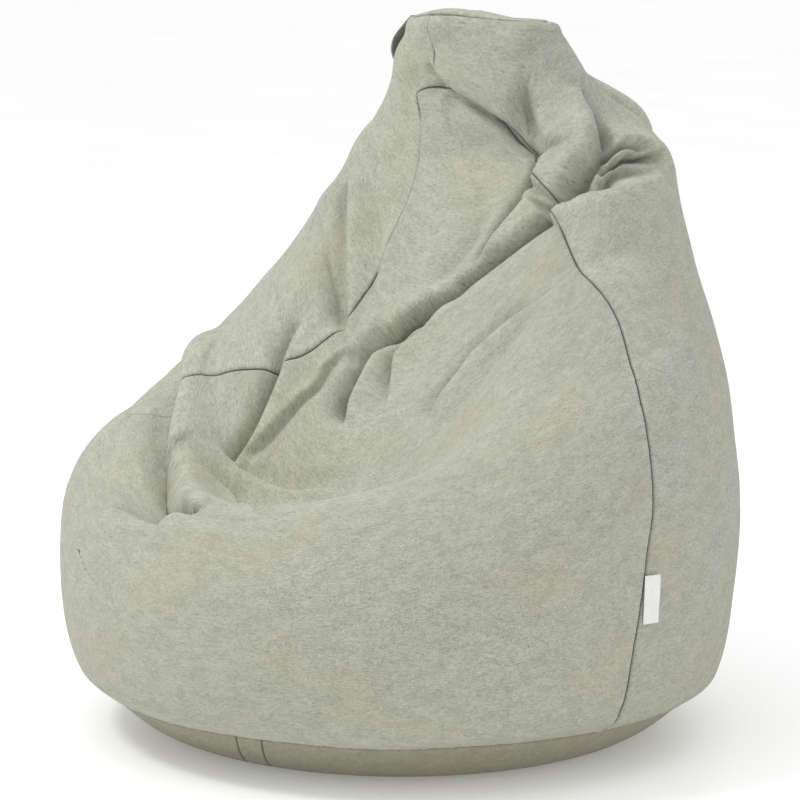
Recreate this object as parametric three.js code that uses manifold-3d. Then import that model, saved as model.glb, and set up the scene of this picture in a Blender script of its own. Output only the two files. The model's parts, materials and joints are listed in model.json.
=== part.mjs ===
// A pear-shaped bean bag chair, pressed into a seat at its front. Millimetres, +Z up.
// The origin is the middle of the base, on the floor; a sitter faces -Y and has +X on the left.
// The cover is sewn from a front panel, two back panels, a cap and a base in two halves with a
// zip between them. A thin liner inside it holds the beads.
import * as THREE from "three";
import { mergeVertices } from "three/addons/utils/BufferGeometryUtils.js";
import Module from "manifold-3d";

const wasm = await Module();
wasm.setup();

// ---- Driving sizes -------------------------------------------------------------------------
const bellyWidth = 900; // across the bag at its widest
const bagHeight = 950; // floor to the middle of the cap
const coverThickness = 1.5; // woven upholstery cloth with its backing
const linerThickness = 1;
const layerGap = 0.5; // between one layer and the next
const seamGap = 0.4; // between two panels at a seam

const zipLength = 500;
const zipOpeningWidth = 34; // between the two halves of the base
const tapeThickness = 0.8;
const tapeSewnWidth = 8; // of each tape, flat on the base
const tapeLevel = 6.6; // underside of the tapes at the chain
const chainGap = 1.6; // between the two rows of coils
const coilWidth = 2.1;
const coilHeight = 2;
const sliderLength = 12;
const sliderWidth = 11;
const sliderPlate = 1.3;
const sliderWeb = 1; // the post between the slider's plates
const pullerLength = 22;
const pullerWidth = 7.4;
const pullerThickness = 1.2;
const pullerPinRadius = 0.6;
const bridgeWidth = 3; // of the bridge that holds the puller
const channelWidth = 60; // room for the zip under the liner
const runClearance = 0.4; // between pieces that slide on each other
const restGap = 0.3; // between pieces that lie on each other

const strapWidth = 30;
const strapThickness = 2.4;
const strapDrop = 66; // from the seam to the bottom of the handle's loop
const strapOpening = 20; // for fingers, through the loop
const strapPlace = 14; // from the middle of the cap's side towards the back

const labelWidth = 27;
const labelHeight = 62;
const labelThickness = 0.9;
const labelMiddle = 236; // height of its middle above the floor

// ---- Shape of the filled bag ---------------------------------------------------------------
// Stations run from the middle of the base out along the floor, up the bag and in to its cap.
// Each holds a point of the front outline [y, z], the half width, y and z of the side outline,
// a point of the back outline [y, z], and how far the station's middle stands to the sitter's
// left. The front panel's seams are the angles from the front, to the sitter's right and left.
// The numbers are for a bag 900 wide and 950 high.
const drawnWidth = 900;
const drawnHeight = 950;
const stations = [
  { name: "middle", front: [0, 0], side: [0, 0, 0], back: [0, 0], shift: 0, seams: [70, 70] },
  { name: "floor edge", front: [-280, 0], side: [286, 0, 0], back: [282, 0], shift: 0, seams: [71, 71] },
  { name: "base seam", front: [-400, 64], side: [411, 0, 66], back: [403, 70], shift: 0, seams: [73, 73] },
  { name: "low belly", front: [-428, 100], side: [438, 0, 106], back: [428, 118], shift: 0, seams: [74, 74] },
  { name: "belly", front: [-448, 190], side: [450, 4, 218], back: [448, 250], shift: 0, seams: [77, 77] },
  { name: "high belly", front: [-434, 292], side: [440, 12, 345], back: [453, 400], shift: 4, seams: [79, 79] },
  { name: "arm", front: [-362, 356], side: [380, 38, 474], back: [453, 540], shift: 20, seams: [70, 80] },
  { name: "seat", front: [-236, 316], side: [292, 92, 592], back: [446, 664], shift: 36, seams: [53, 78] },
  { name: "low back", front: [-86, 446], side: [240, 156, 692], back: [430, 756], shift: 28, seams: [35, 63] },
  { name: "high back", front: [58, 612], side: [212, 208, 776], back: [404, 822], shift: 20, seams: [26, 46] },
  { name: "neck", front: [140, 744], side: [142, 232, 846], back: [320, 872], shift: 6, seams: [32, 41] },
  { name: "hood", front: [138, 866], side: [116, 216, 908], back: [280, 916], shift: 0, seams: [52, 56] },
  { name: "cap edge", front: [136, 934], side: [104, 200, 936], back: [260, 938], shift: 0, seams: [60, 60] },
  { name: "cap middle", front: [198, 950], side: [0, 198, 950], back: [198, 950], shift: 0, seams: [60, 60] },
];
const floorEdge = 1;
const baseSeam = 2;
const capEdge = 12;
const capMiddle = 13;
const fillTop = 11; // the hood above this station is empty cloth
const archRow = 10.5; // the top of the front panel
const archRise = 0.3; // of its middle above that row, in stations, and drop of its corners
const archReach = 1.2; // how far above and below it the rows bend with it
const archLean = 0.12; // how much lower its left half hangs than its right half

const across = bellyWidth / drawnWidth;
const upward = bagHeight / drawnHeight;
const track = (pick, scale) => stations.map((s) => pick(s) * scale);
const outline = {
  frontY: track((s) => s.front[0], across),
  frontZ: track((s) => s.front[1], upward),
  sideX: track((s) => s.side[0], across),
  sideY: track((s) => s.side[1], across),
  sideZ: track((s) => s.side[2], upward),
  backY: track((s) => s.back[0], across),
  backZ: track((s) => s.back[1], upward),
  shift: track((s) => s.shift, across),
  rightSeam: track((s) => s.seams[0], Math.PI / 180),
  leftSeam: track((s) => s.seams[1], Math.PI / 180),
};
const flatTracks = [outline.frontZ, outline.sideZ, outline.backZ]; // level up to the floor edge

// A smooth value of a track at a station that may lie between two of its entries.
function through(values, station) {
  const last = values.length - 1;
  const i = Math.min(last - 1, Math.max(0, Math.floor(station)));
  const t = station - i;
  const at = (k) => values[Math.min(last, Math.max(0, k))];
  const flat = flatTracks.includes(values);
  const slope = (k) => (flat && k <= floorEdge ? 0 : (at(k + 1) - at(k - 1)) / 2);
  const t2 = t * t;
  const t3 = t2 * t;
  return (
    (2 * t3 - 3 * t2 + 1) * at(i) +
    (t3 - 2 * t2 + t) * slope(i) +
    (3 * t2 - 2 * t3) * at(i + 1) +
    (t3 - t2) * slope(i + 1)
  );
}

// A point of the bag's outside. The angle is 0 at the front and grows towards +X.
function bagPoint(angle, station) {
  const c = Math.cos(angle);
  const facing = c > 0;
  const y = through(facing ? outline.frontY : outline.backY, station);
  const z = through(facing ? outline.frontZ : outline.backZ, station);
  const sideY = through(outline.sideY, station);
  const sideZ = through(outline.sideZ, station);
  return new THREE.Vector3(
    through(outline.shift, station) + through(outline.sideX, station) * Math.sin(angle),
    sideY + (y - sideY) * Math.abs(c),
    sideZ + (z - sideZ) * c * c,
  );
}

const smallStep = 1e-3;
const alongAngle = (a, s) =>
  bagPoint(a + smallStep, s).sub(bagPoint(a - smallStep, s)).divideScalar(2 * smallStep);
function alongStation(a, s) {
  const low = Math.max(0, s - smallStep);
  const high = Math.min(capMiddle, s + smallStep);
  return bagPoint(a, high).sub(bagPoint(a, low)).divideScalar(high - low);
}

// The outward direction at a point of the bag.
function bagNormal(angle, station) {
  if (station <= floorEdge) return new THREE.Vector3(0, 0, -1);
  if (station >= capMiddle) return new THREE.Vector3(0, 0, 1);
  return alongAngle(angle, station).cross(alongStation(angle, station)).normalize();
}

// ---- The net that every layer follows ------------------------------------------------------
// Columns are turns from the front. The front panel lies between -seamTurn and seamTurn.
const seamTurn = THREE.MathUtils.degToRad(80);
const frontColumns = 16;
const backColumns = 12; // of each back panel
const rowsPerStation = 2;
const between = (a, b, n) => Array.from({ length: n }, (_, i) => a + ((b - a) * i) / n);
const turns = [
  ...between(-Math.PI, -seamTurn, backColumns),
  ...between(-seamTurn, seamTurn, frontColumns),
  ...between(seamTurn, Math.PI, backColumns),
  Math.PI,
];
const columnCount = turns.length - 1;
const frontStart = backColumns;
const frontMiddle = backColumns + frontColumns / 2;
const frontEnd = backColumns + frontColumns;

function rowsBetween(from, to) {
  const rows = from < floorEdge ? [0] : [];
  for (let s = Math.max(from, floorEdge); s < to; s += 1) {
    for (let k = 0; k < rowsPerStation; k += 1) rows.push(s + k / rowsPerStation);
  }
  return [...rows, to];
}

// The angle and station of a place in the net.
function netPlace(turn, row) {
  const out = Math.min(1, Math.abs(turn) / seamTurn);
  const past = Math.max(0, (Math.abs(turn) - seamTurn) / (Math.PI - seamTurn));
  const bend = Math.max(0, 1 - Math.abs(row - archRow) / archReach);
  const lean = 4 * archLean * Math.sign(turn) * out * (1 - out);
  const station = row + bend * (archRise * (1 - 2 * out * out) - lean) * (1 - past);
  const seam = through(turn < 0 ? outline.rightSeam : outline.leftSeam, station);
  const angle = Math.sign(turn) * (seam * out + (Math.PI - seam) * past);
  return [angle, station];
}

const netPoint = (turn, row, depth) => {
  const [angle, station] = netPlace(turn, row);
  return bagPoint(angle, station).addScaledVector(bagNormal(angle, station), -depth);
};

// ---- Solids --------------------------------------------------------------------------------
// Collects triangles, leaving out those that have closed up at the middle of the base or cap.
function triangleList() {
  const places = [];
  const add = (a, b, c) => {
    const flat = a.distanceTo(b) < 1e-4 || b.distanceTo(c) < 1e-4 || c.distanceTo(a) < 1e-4;
    if (!flat) places.push(...a.toArray(), ...b.toArray(), ...c.toArray());
  };
  const quad = (a, b, c, d) => {
    add(a, b, c);
    add(a, c, d);
  };
  const geometry = () => {
    const made = new THREE.BufferGeometry();
    made.setAttribute("position", new THREE.Float32BufferAttribute(places, 3));
    return mergeVertices(made, 1e-4);
  };
  return { add, quad, geometry };
}

// A sewn layer of the bag as a closed shell, whose outside lies `depth` under the bag's surface.
// It has the net's cells for which has(column, row) is true, and its free edges keep half a seam
// gap to what they meet.
function shell({ rows, depth, thickness, has }) {
  const rowCount = rows.length - 1;
  const wrap = (i) => (i + columnCount) % columnCount;
  const cell = (i, j) => j >= 0 && j < rowCount && has(wrap(i), rows[j]);
  const isPole = (j) => rows[j] === 0 || rows[j] === capMiddle;
  const corner = (i, j) => {
    const [lowLeft, lowRight] = [cell(i - 1, j - 1), cell(i, j - 1)].map(Number);
    const [highLeft, highRight] = [cell(i - 1, j), cell(i, j)].map(Number);
    let turn = turns[i];
    let row = rows[j];
    if (!isPole(j) && lowLeft + lowRight + highLeft + highRight < 4) {
      const alongTurn = netPoint(turn + smallStep, row, 0).sub(netPoint(turn - smallStep, row, 0));
      const alongRow = netPoint(turn, row + smallStep, 0).sub(netPoint(turn, row - smallStep, 0));
      const reach = (seamGap * smallStep) / alongTurn.clone().cross(alongRow).length();
      const low = lowLeft + lowRight;
      const high = highLeft + highRight;
      turn += Math.sign(lowRight + highRight - lowLeft - highLeft) * reach * alongRow.length();
      row += Math.sign(high - low) * reach * alongTurn.length();
    }
    return [netPoint(turn, row, depth), netPoint(turn, row, depth + thickness)];
  };
  const corners = turns.slice(0, -1).map((_, i) => rows.map((__, j) => corner(i, j)));
  const outside = (i, j) => corners[wrap(i)][j][0];
  const inside = (i, j) => corners[wrap(i)][j][1];
  const list = triangleList();
  const wall = (i0, j0, i1, j1) =>
    list.quad(inside(i0, j0), inside(i1, j1), outside(i1, j1), outside(i0, j0));
  for (let i = 0; i < columnCount; i += 1) {
    for (let j = 0; j < rowCount; j += 1) {
      if (!cell(i, j)) continue;
      list.quad(outside(i, j), outside(i + 1, j), outside(i + 1, j + 1), outside(i, j + 1));
      list.quad(inside(i, j), inside(i, j + 1), inside(i + 1, j + 1), inside(i + 1, j));
      if (!cell(i, j - 1)) wall(i, j, i + 1, j);
      if (!cell(i + 1, j)) wall(i + 1, j, i + 1, j + 1);
      if (!cell(i, j + 1)) wall(i + 1, j + 1, i, j + 1);
      if (!cell(i - 1, j)) wall(i, j + 1, i, j);
    }
  }
  return list.geometry();
}

// Everything inside a depth under the bag's surface, up to a row and closed over its top.
function solidUnder(depth, topRow) {
  const ring = (row) => turns.slice(0, -1).map((turn) => netPoint(turn, row, depth));
  const rings = rowsBetween(0, topRow).map(ring);
  const top = new THREE.Vector3();
  rings.at(-1).forEach((p) => top.add(p));
  top.divideScalar(columnCount);
  const list = triangleList();
  for (let i = 0; i < columnCount; i += 1) {
    const next = (i + 1) % columnCount;
    for (let j = 0; j + 1 < rings.length; j += 1) {
      list.quad(rings[j][i], rings[j][next], rings[j + 1][next], rings[j + 1][i]);
    }
    list.add(rings.at(-1)[i], rings.at(-1)[next], top);
  }
  return list.geometry();
}

function asSolid(geometry) {
  const plain = new THREE.BufferGeometry();
  plain.setAttribute("position", geometry.getAttribute("position"));
  if (geometry.index) plain.setIndex(geometry.index);
  const merged = mergeVertices(plain, 1e-4);
  return new wasm.Manifold(
    new wasm.Mesh({
      numProp: 3,
      vertProperties: new Float32Array(merged.getAttribute("position").array),
      triVerts: new Uint32Array(merged.index.array),
    }),
  );
}

function asGeometry(solid) {
  const mesh = solid.getMesh();
  const made = new THREE.BufferGeometry();
  made.setAttribute("position", new THREE.Float32BufferAttribute(mesh.vertProperties, 3));
  made.setIndex(new THREE.BufferAttribute(mesh.triVerts, 1));
  return made;
}

// A box between two corners.
function boxBetween([x0, y0, z0], [x1, y1, z1]) {
  const box = new THREE.BoxGeometry(x1 - x0, y1 - y0, z1 - z0);
  return box.translate((x0 + x1) / 2, (y0 + y1) / 2, (z0 + z1) / 2);
}

// A section drawn in x and z, run along y between two ends.
function alongY(section, from, to) {
  const shape = new THREE.Shape(section.map(([x, z]) => new THREE.Vector2(x, z)));
  const bar = new THREE.ExtrudeGeometry(shape, { depth: to - from, bevelEnabled: false });
  return bar.rotateX(Math.PI / 2).translate(0, to, 0);
}

const mirrored = (section) => section.map(([x, z]) => [-x, z]).reverse();

// ---- Materials -----------------------------------------------------------------------------
const cloth = new THREE.MeshStandardMaterial({ color: 0xb9bdab, roughness: 0.95 });
const tapeCloth = new THREE.MeshStandardMaterial({ color: 0x8f9484, roughness: 0.9 });
const linerCloth = new THREE.MeshStandardMaterial({ color: 0xe9e9e4, roughness: 0.9 });
const beads = new THREE.MeshStandardMaterial({ color: 0xf4f4f2, roughness: 0.7 });
const coilPlastic = new THREE.MeshStandardMaterial({ color: 0x83887a, roughness: 0.45 });
const zipMetal = new THREE.MeshStandardMaterial({ color: 0x9a9a98, roughness: 0.35, metalness: 1 });
const labelCloth = new THREE.MeshStandardMaterial({ color: 0xd9d9da, roughness: 0.7 });

const chair = new THREE.Group();
function addPiece(name, geometry, material, parent = chair) {
  const mesh = new THREE.Mesh(geometry, material);
  mesh.name = name;
  parent.add(mesh);
  return mesh;
}

// ---- Cover ---------------------------------------------------------------------------------
// The back panels meet at the middle of the back, and at the front above the front panel.
const cover = { depth: 0, thickness: coverThickness };
const wallRows = rowsBetween(baseSeam, capEdge);
const everywhere = () => true;
const isFront = (column, row) => column >= frontStart && column < frontEnd && row < archRow;
const isLeft = (column, row) => column >= frontMiddle && !isFront(column, row);
const isRight = (column, row) => column < frontMiddle && !isFront(column, row);
addPiece("front_panel", shell({ ...cover, rows: wallRows, has: isFront }), cloth);
addPiece("left_back_panel", shell({ ...cover, rows: wallRows, has: isLeft }), cloth);
addPiece("right_back_panel", shell({ ...cover, rows: wallRows, has: isRight }), cloth);
const capRows = rowsBetween(capEdge, capMiddle);
addPiece("top_cap", shell({ ...cover, rows: capRows, has: everywhere }), cloth);

// The base is one bowl, cut along the zip into two halves and the strips past its ends.
const baseRows = rowsBetween(0, baseSeam);
const baseBowl = asSolid(shell({ ...cover, rows: baseRows, has: everywhere }));
const wide = bellyWidth;
const zipEdge = zipOpeningWidth / 2;
const zipEnd = zipLength / 2;
const stripOverlap = 8; // how far an end strip reaches under the zip
const pieceOfBase = (low, high) =>
  asGeometry(baseBowl.intersect(asSolid(boxBetween([...low, -wide], [...high, wide]))));
addPiece("base_left_panel", pieceOfBase([zipEdge, -wide], [wide, wide]), cloth);
addPiece("base_right_panel", pieceOfBase([-wide, -wide], [-zipEdge, wide]), cloth);
const stripEdge = zipEdge - restGap;
const stripStart = zipEnd - stripOverlap;
addPiece("zip_end_strip_front", pieceOfBase([-stripEdge, -wide], [stripEdge, -stripStart]), cloth);
addPiece("zip_end_strip_back", pieceOfBase([-stripEdge, stripStart], [stripEdge, wide]), cloth);

// ---- Zip -----------------------------------------------------------------------------------
// Each tape is sewn on the inside of its half of the base and climbs to the chain in the middle,
// so that the slider clears the floor.
const sewnLevel = coverThickness + restGap;
const coilInner = chainGap / 2;
const coilOuter = coilInner + coilWidth;
const tapeInner = coilOuter + restGap;
const tapeClimbTop = sliderWidth / 2 + 3 * runClearance + 2;
const tapeClimbFoot = zipEdge - 1;
const tapeOuter = zipEdge + tapeSewnWidth;
const tapeSection = [
  [tapeInner, tapeLevel],
  [tapeClimbTop, tapeLevel],
  [tapeClimbFoot, sewnLevel],
  [tapeOuter, sewnLevel],
  [tapeOuter, sewnLevel + tapeThickness],
  [tapeClimbFoot, sewnLevel + tapeThickness],
  [tapeClimbTop, tapeLevel + tapeThickness],
  [tapeInner, tapeLevel + tapeThickness],
];
addPiece("zip_tape_left", alongY(tapeSection, -zipEnd, zipEnd), tapeCloth);
addPiece("zip_tape_right", alongY(mirrored(tapeSection), -zipEnd, zipEnd), tapeCloth);

const stopLength = 4;
const chainEnd = zipEnd - 10;
const coilMiddle = tapeLevel + tapeThickness / 2;
const coilSection = [
  [coilInner, coilMiddle - coilHeight / 2],
  [coilOuter, coilMiddle - coilHeight / 2],
  [coilOuter, coilMiddle + coilHeight / 2],
  [coilInner, coilMiddle + coilHeight / 2],
];
addPiece("zip_coil_left", alongY(coilSection, -chainEnd, chainEnd), coilPlastic);
addPiece("zip_coil_right", alongY(mirrored(coilSection), -chainEnd, chainEnd), coilPlastic);
const stopBox = (from) =>
  boxBetween(
    [-coilOuter, from, coilMiddle - coilHeight / 2],
    [coilOuter, from + stopLength, coilMiddle + coilHeight / 2],
  );
addPiece("zip_stop_front", stopBox(-chainEnd - restGap - stopLength), zipMetal);
addPiece("zip_stop_back", stopBox(chainEnd + restGap), zipMetal);

// The slider is two plates joined by a web that runs between the coils. Its lips hold the tapes.
const slider = new THREE.Group();
slider.name = "slider";
chair.add(slider);
const coilTop = coilMiddle + coilHeight / 2;
const coilBottom = coilMiddle - coilHeight / 2;
const plateTop = coilTop + runClearance;
const plateBottom = coilBottom - runClearance;
const lip = 1; // width of a lip
const sliderHalf = sliderWidth / 2;
const lipTop = tapeLevel + tapeThickness + runClearance;
const lipBottom = tapeLevel - runClearance;
const halfSection = [
  [sliderWeb / 2, plateBottom],
  [sliderHalf - lip, plateBottom],
  [sliderHalf - lip, lipBottom],
  [sliderHalf, lipBottom],
  [sliderHalf, plateBottom - sliderPlate],
];
const upperHalf = [
  [sliderHalf, plateTop + sliderPlate],
  [sliderHalf, lipTop],
  [sliderHalf - lip, lipTop],
  [sliderHalf - lip, plateTop],
  [sliderWeb / 2, plateTop],
];
const sliderSection = [
  ...upperHalf,
  ...halfSection,
  ...mirrored(halfSection),
  ...mirrored(upperHalf),
];
const sliderBody = alongY(sliderSection, -sliderLength / 2, sliderLength / 2);

// The bridge under the slider holds the puller's pin.
const sliderFloor = plateBottom - sliderPlate;
const pinLevel = sliderFloor - runClearance - pullerPinRadius;
const bridgeBar = 1;
const bridgeWindow = 5; // length of the window that the pin turns in
const bridgeBottom = pinLevel - pullerPinRadius - runClearance - bridgeBar;
const bridgeHalf = bridgeWidth / 2;
const bridgeReach = bridgeWindow / 2 + bridgeBar;
const bridge = asSolid(
  boxBetween(
    [-bridgeHalf, -bridgeReach, bridgeBottom],
    [bridgeHalf, bridgeReach, sliderFloor + sliderPlate / 2],
  ),
).subtract(
  asSolid(
    boxBetween(
      [-bridgeWidth, -bridgeWindow / 2, bridgeBottom + bridgeBar],
      [bridgeWidth, bridgeWindow / 2, sliderFloor],
    ),
  ),
);
addPiece("zip_slider", asGeometry(asSolid(sliderBody).add(bridge)), zipMetal, slider);

// The puller is a tab with two arms that carry the pin through the bridge.
const pinPlace = bridgeWindow / 2 - pullerPinRadius - runClearance;
const pullerHalf = pullerWidth / 2;
const armInner = bridgeHalf + runClearance;
const armLength = bridgeReach + 2 * runClearance;
const pinBar = new THREE.CylinderGeometry(pullerPinRadius, pullerPinRadius, pullerWidth - 1, 12)
  .rotateZ(Math.PI / 2)
  .translate(0, pinPlace, pinLevel);
const tabCorner = 2;
const tabFoot = pinPlace - pullerPinRadius;
const tabTip = pinPlace + armLength + pullerLength;
const tab = new THREE.Shape();
tab.moveTo(pullerHalf, tabFoot);
tab.lineTo(pullerHalf, tabTip - tabCorner);
tab.absarc(pullerHalf - tabCorner, tabTip - tabCorner, tabCorner, 0, Math.PI / 2);
tab.absarc(tabCorner - pullerHalf, tabTip - tabCorner, tabCorner, Math.PI / 2, Math.PI);
tab.lineTo(-pullerHalf, tabFoot);
tab.closePath();
const tabPlate = new THREE.ExtrudeGeometry(tab, {
  depth: pullerThickness,
  bevelEnabled: false,
  curveSegments: 4,
}).translate(0, 0, pinLevel - pullerThickness / 2);
const windowCut = boxBetween(
  [-armInner, tabFoot - 1, pinLevel - pullerThickness],
  [armInner, pinPlace + armLength, pinLevel + pullerThickness],
);
const pullerSolid = asSolid(tabPlate).subtract(asSolid(windowCut)).add(asSolid(pinBar));
addPiece("zip_puller", asGeometry(pullerSolid), zipMetal, slider);
slider.position.y = -chainEnd + sliderLength / 2; // closed, at the front stop

// ---- Carry handle --------------------------------------------------------------------------
// A strap folded in half, with both ends sewn into the cap's seam on the right side. Its loop
// hangs along the hood, with room for fingers between its two runs.
function stationAtHeight(angle, height) {
  let low = baseSeam;
  let high = capEdge;
  for (let k = 0; k < 40; k += 1) {
    const middle = (low + high) / 2;
    if (bagPoint(angle, middle).z < height) low = middle;
    else high = middle;
  }
  return low;
}
const rightSide = -Math.PI / 2;
const strapRoot = bagPoint(rightSide, capEdge);
const strapFoot = bagPoint(rightSide, stationAtHeight(rightSide, strapRoot.z - strapDrop));
const strapLean = Math.atan2(strapRoot.x - strapFoot.x, strapRoot.z - strapFoot.z);
const handle = new THREE.Group();
handle.name = "handle";
chair.add(handle);
const strapHalf = strapThickness / 2;
const strapOut = new THREE.Vector3(-Math.cos(strapLean), 0, Math.sin(strapLean));
const hoodBulge = Math.max(
  ...between(0, 1, 16).map((share) => {
    const station = stationAtHeight(rightSide, strapRoot.z - share * strapDrop);
    return bagPoint(rightSide, station).sub(strapRoot).dot(strapOut);
  }),
);
const strapStand = 2; // between the inner run and the fullest part of the hood
handle.position.copy(strapRoot).addScaledVector(strapOut, hoodBulge + strapStand);
handle.position.y += strapPlace;
handle.rotation.y = strapLean;
const innerRun = -strapHalf;
const outerRun = innerRun - strapThickness - strapOpening;
const outerRoot = innerRun - strapThickness - 1; // the two ends lie side by side at the seam
const loopPath = new THREE.CatmullRomCurve3(
  [
    [innerRun, 0],
    [innerRun, 0.3],
    [innerRun - 0.5, 0.6],
    [innerRun - 3, 0.86],
    [(innerRun + outerRun) / 2, 1],
    [outerRun + 3, 0.86],
    [outerRun + 1, 0.6],
    [(outerRun + outerRoot) / 2, 0.28],
    [outerRoot, 0],
  ].map(([x, drop]) => new THREE.Vector3(x, 0, -drop * strapDrop)),
);
const strapSection = new THREE.Shape([
  new THREE.Vector2(-strapWidth / 2, -strapHalf),
  new THREE.Vector2(strapWidth / 2, -strapHalf),
  new THREE.Vector2(strapWidth / 2, strapHalf),
  new THREE.Vector2(-strapWidth / 2, strapHalf),
]);
addPiece(
  "carry_handle",
  new THREE.ExtrudeGeometry(strapSection, { steps: 32, extrudePath: loopPath, bevelEnabled: false }),
  cloth,
  handle,
);

// ---- Side label ----------------------------------------------------------------------------
// A blank folded label caught in the left side seam, lying back over the back panel.
const seamAtHeight = (height) => {
  let angle = seamTurn;
  for (let k = 0; k < 8; k += 1) angle = through(outline.leftSeam, stationAtHeight(angle, height));
  return angle;
};
const labelAngle = seamAtHeight(labelMiddle);
const labelStation = stationAtHeight(labelAngle, labelMiddle);
const labelUp = alongStation(labelAngle, labelStation).normalize();
const labelOut = bagNormal(labelAngle, labelStation);
const labelBack = labelUp.clone().cross(labelOut).normalize();
const labelStand = 1.2; // how far its sewn edge stands off the cover
const labelPlace = bagPoint(labelAngle, labelStation)
  .addScaledVector(labelOut, labelStand + labelThickness / 2)
  .addScaledVector(labelBack, labelWidth / 2);
const label = addPiece(
  "side_label",
  new THREE.BoxGeometry(labelWidth, labelHeight, labelThickness),
  labelCloth,
);
label.matrixAutoUpdate = false;
label.matrix.makeBasis(labelBack, labelUp, labelOut).setPosition(labelPlace);

// ---- Liner ---------------------------------------------------------------------------------
const linerDepth = coverThickness + layerGap;
const liner = { depth: linerDepth, thickness: linerThickness };
const linerRows = rowsBetween(floorEdge, capEdge);
const isLeftHalf = (column) => column >= frontMiddle;
const isRightHalf = (column) => column < frontMiddle;
addPiece("liner_left_panel", shell({ ...liner, rows: linerRows, has: isLeftHalf }), linerCloth);
addPiece("liner_right_panel", shell({ ...liner, rows: linerRows, has: isRightHalf }), linerCloth);
addPiece("liner_cap", shell({ ...liner, rows: capRows, has: everywhere }), linerCloth);

// The liner's base has a channel over the zip, so that the slider has room to run.
const channelHalf = channelWidth / 2;
const channelLevel = plateTop + sliderPlate + 2.4; // underside of the channel's roof
const channelEnd = Math.max(zipEnd + 4, chainEnd + tabTip); // clears the puller at its far end
const linerDisc = asSolid(shell({ ...liner, rows: [0, floorEdge], has: everywhere }));
const channelShell = asSolid(
  boxBetween(
    [-channelHalf - linerThickness, -channelEnd - linerThickness, linerDepth],
    [channelHalf + linerThickness, channelEnd + linerThickness, channelLevel + linerThickness],
  ),
);
const channelRoom = asSolid(
  boxBetween([-channelHalf, -channelEnd, -1], [channelHalf, channelEnd, channelLevel]),
);
addPiece(
  "liner_base",
  asGeometry(linerDisc.add(channelShell).subtract(channelRoom)),
  linerCloth,
);
const closureWidth = 24;
const closureThickness = 1;
addPiece(
  "liner_closure_tape",
  boxBetween(
    [-closureWidth / 2, -channelEnd + 20, channelLevel - restGap - closureThickness],
    [closureWidth / 2, channelEnd - 20, channelLevel - restGap],
  ),
  tapeCloth,
);

// ---- Filling -------------------------------------------------------------------------------
const fillDepth = linerDepth + linerThickness + layerGap;
const fillRoom = linerThickness + layerGap;
const fillChannel = asSolid(
  boxBetween(
    [-channelHalf - fillRoom, -channelEnd - fillRoom, -1],
    [channelHalf + fillRoom, channelEnd + fillRoom, channelLevel + fillRoom],
  ),
);
addPiece(
  "bead_filling",
  asGeometry(asSolid(solidUnder(fillDepth, fillTop)).subtract(fillChannel)),
  beads,
);

export default chair;
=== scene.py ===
import json
import math

import bmesh
import bpy
import numpy as np
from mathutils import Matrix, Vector


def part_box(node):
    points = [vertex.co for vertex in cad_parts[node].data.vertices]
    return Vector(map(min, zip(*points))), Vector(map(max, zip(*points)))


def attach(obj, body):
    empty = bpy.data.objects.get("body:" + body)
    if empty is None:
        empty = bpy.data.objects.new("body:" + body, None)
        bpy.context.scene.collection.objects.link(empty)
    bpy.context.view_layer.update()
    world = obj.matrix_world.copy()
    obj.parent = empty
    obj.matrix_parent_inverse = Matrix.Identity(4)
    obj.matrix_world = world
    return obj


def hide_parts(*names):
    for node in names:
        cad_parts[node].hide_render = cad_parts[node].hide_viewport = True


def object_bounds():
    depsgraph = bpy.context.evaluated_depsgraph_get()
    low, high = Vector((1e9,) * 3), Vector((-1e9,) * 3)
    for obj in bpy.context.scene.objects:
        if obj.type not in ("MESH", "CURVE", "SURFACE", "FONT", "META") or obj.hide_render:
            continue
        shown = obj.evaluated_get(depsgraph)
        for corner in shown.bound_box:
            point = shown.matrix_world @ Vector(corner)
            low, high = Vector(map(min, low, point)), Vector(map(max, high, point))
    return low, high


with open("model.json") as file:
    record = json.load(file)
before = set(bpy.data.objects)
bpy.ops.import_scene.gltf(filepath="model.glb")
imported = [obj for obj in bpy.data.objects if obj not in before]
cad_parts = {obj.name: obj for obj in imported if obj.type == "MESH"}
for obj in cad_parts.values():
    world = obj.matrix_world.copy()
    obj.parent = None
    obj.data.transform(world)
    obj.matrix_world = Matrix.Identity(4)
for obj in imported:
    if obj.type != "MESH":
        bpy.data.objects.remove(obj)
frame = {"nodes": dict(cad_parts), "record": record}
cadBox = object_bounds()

mm = 0.001
scene = bpy.context.scene
print("frame loaded")

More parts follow.
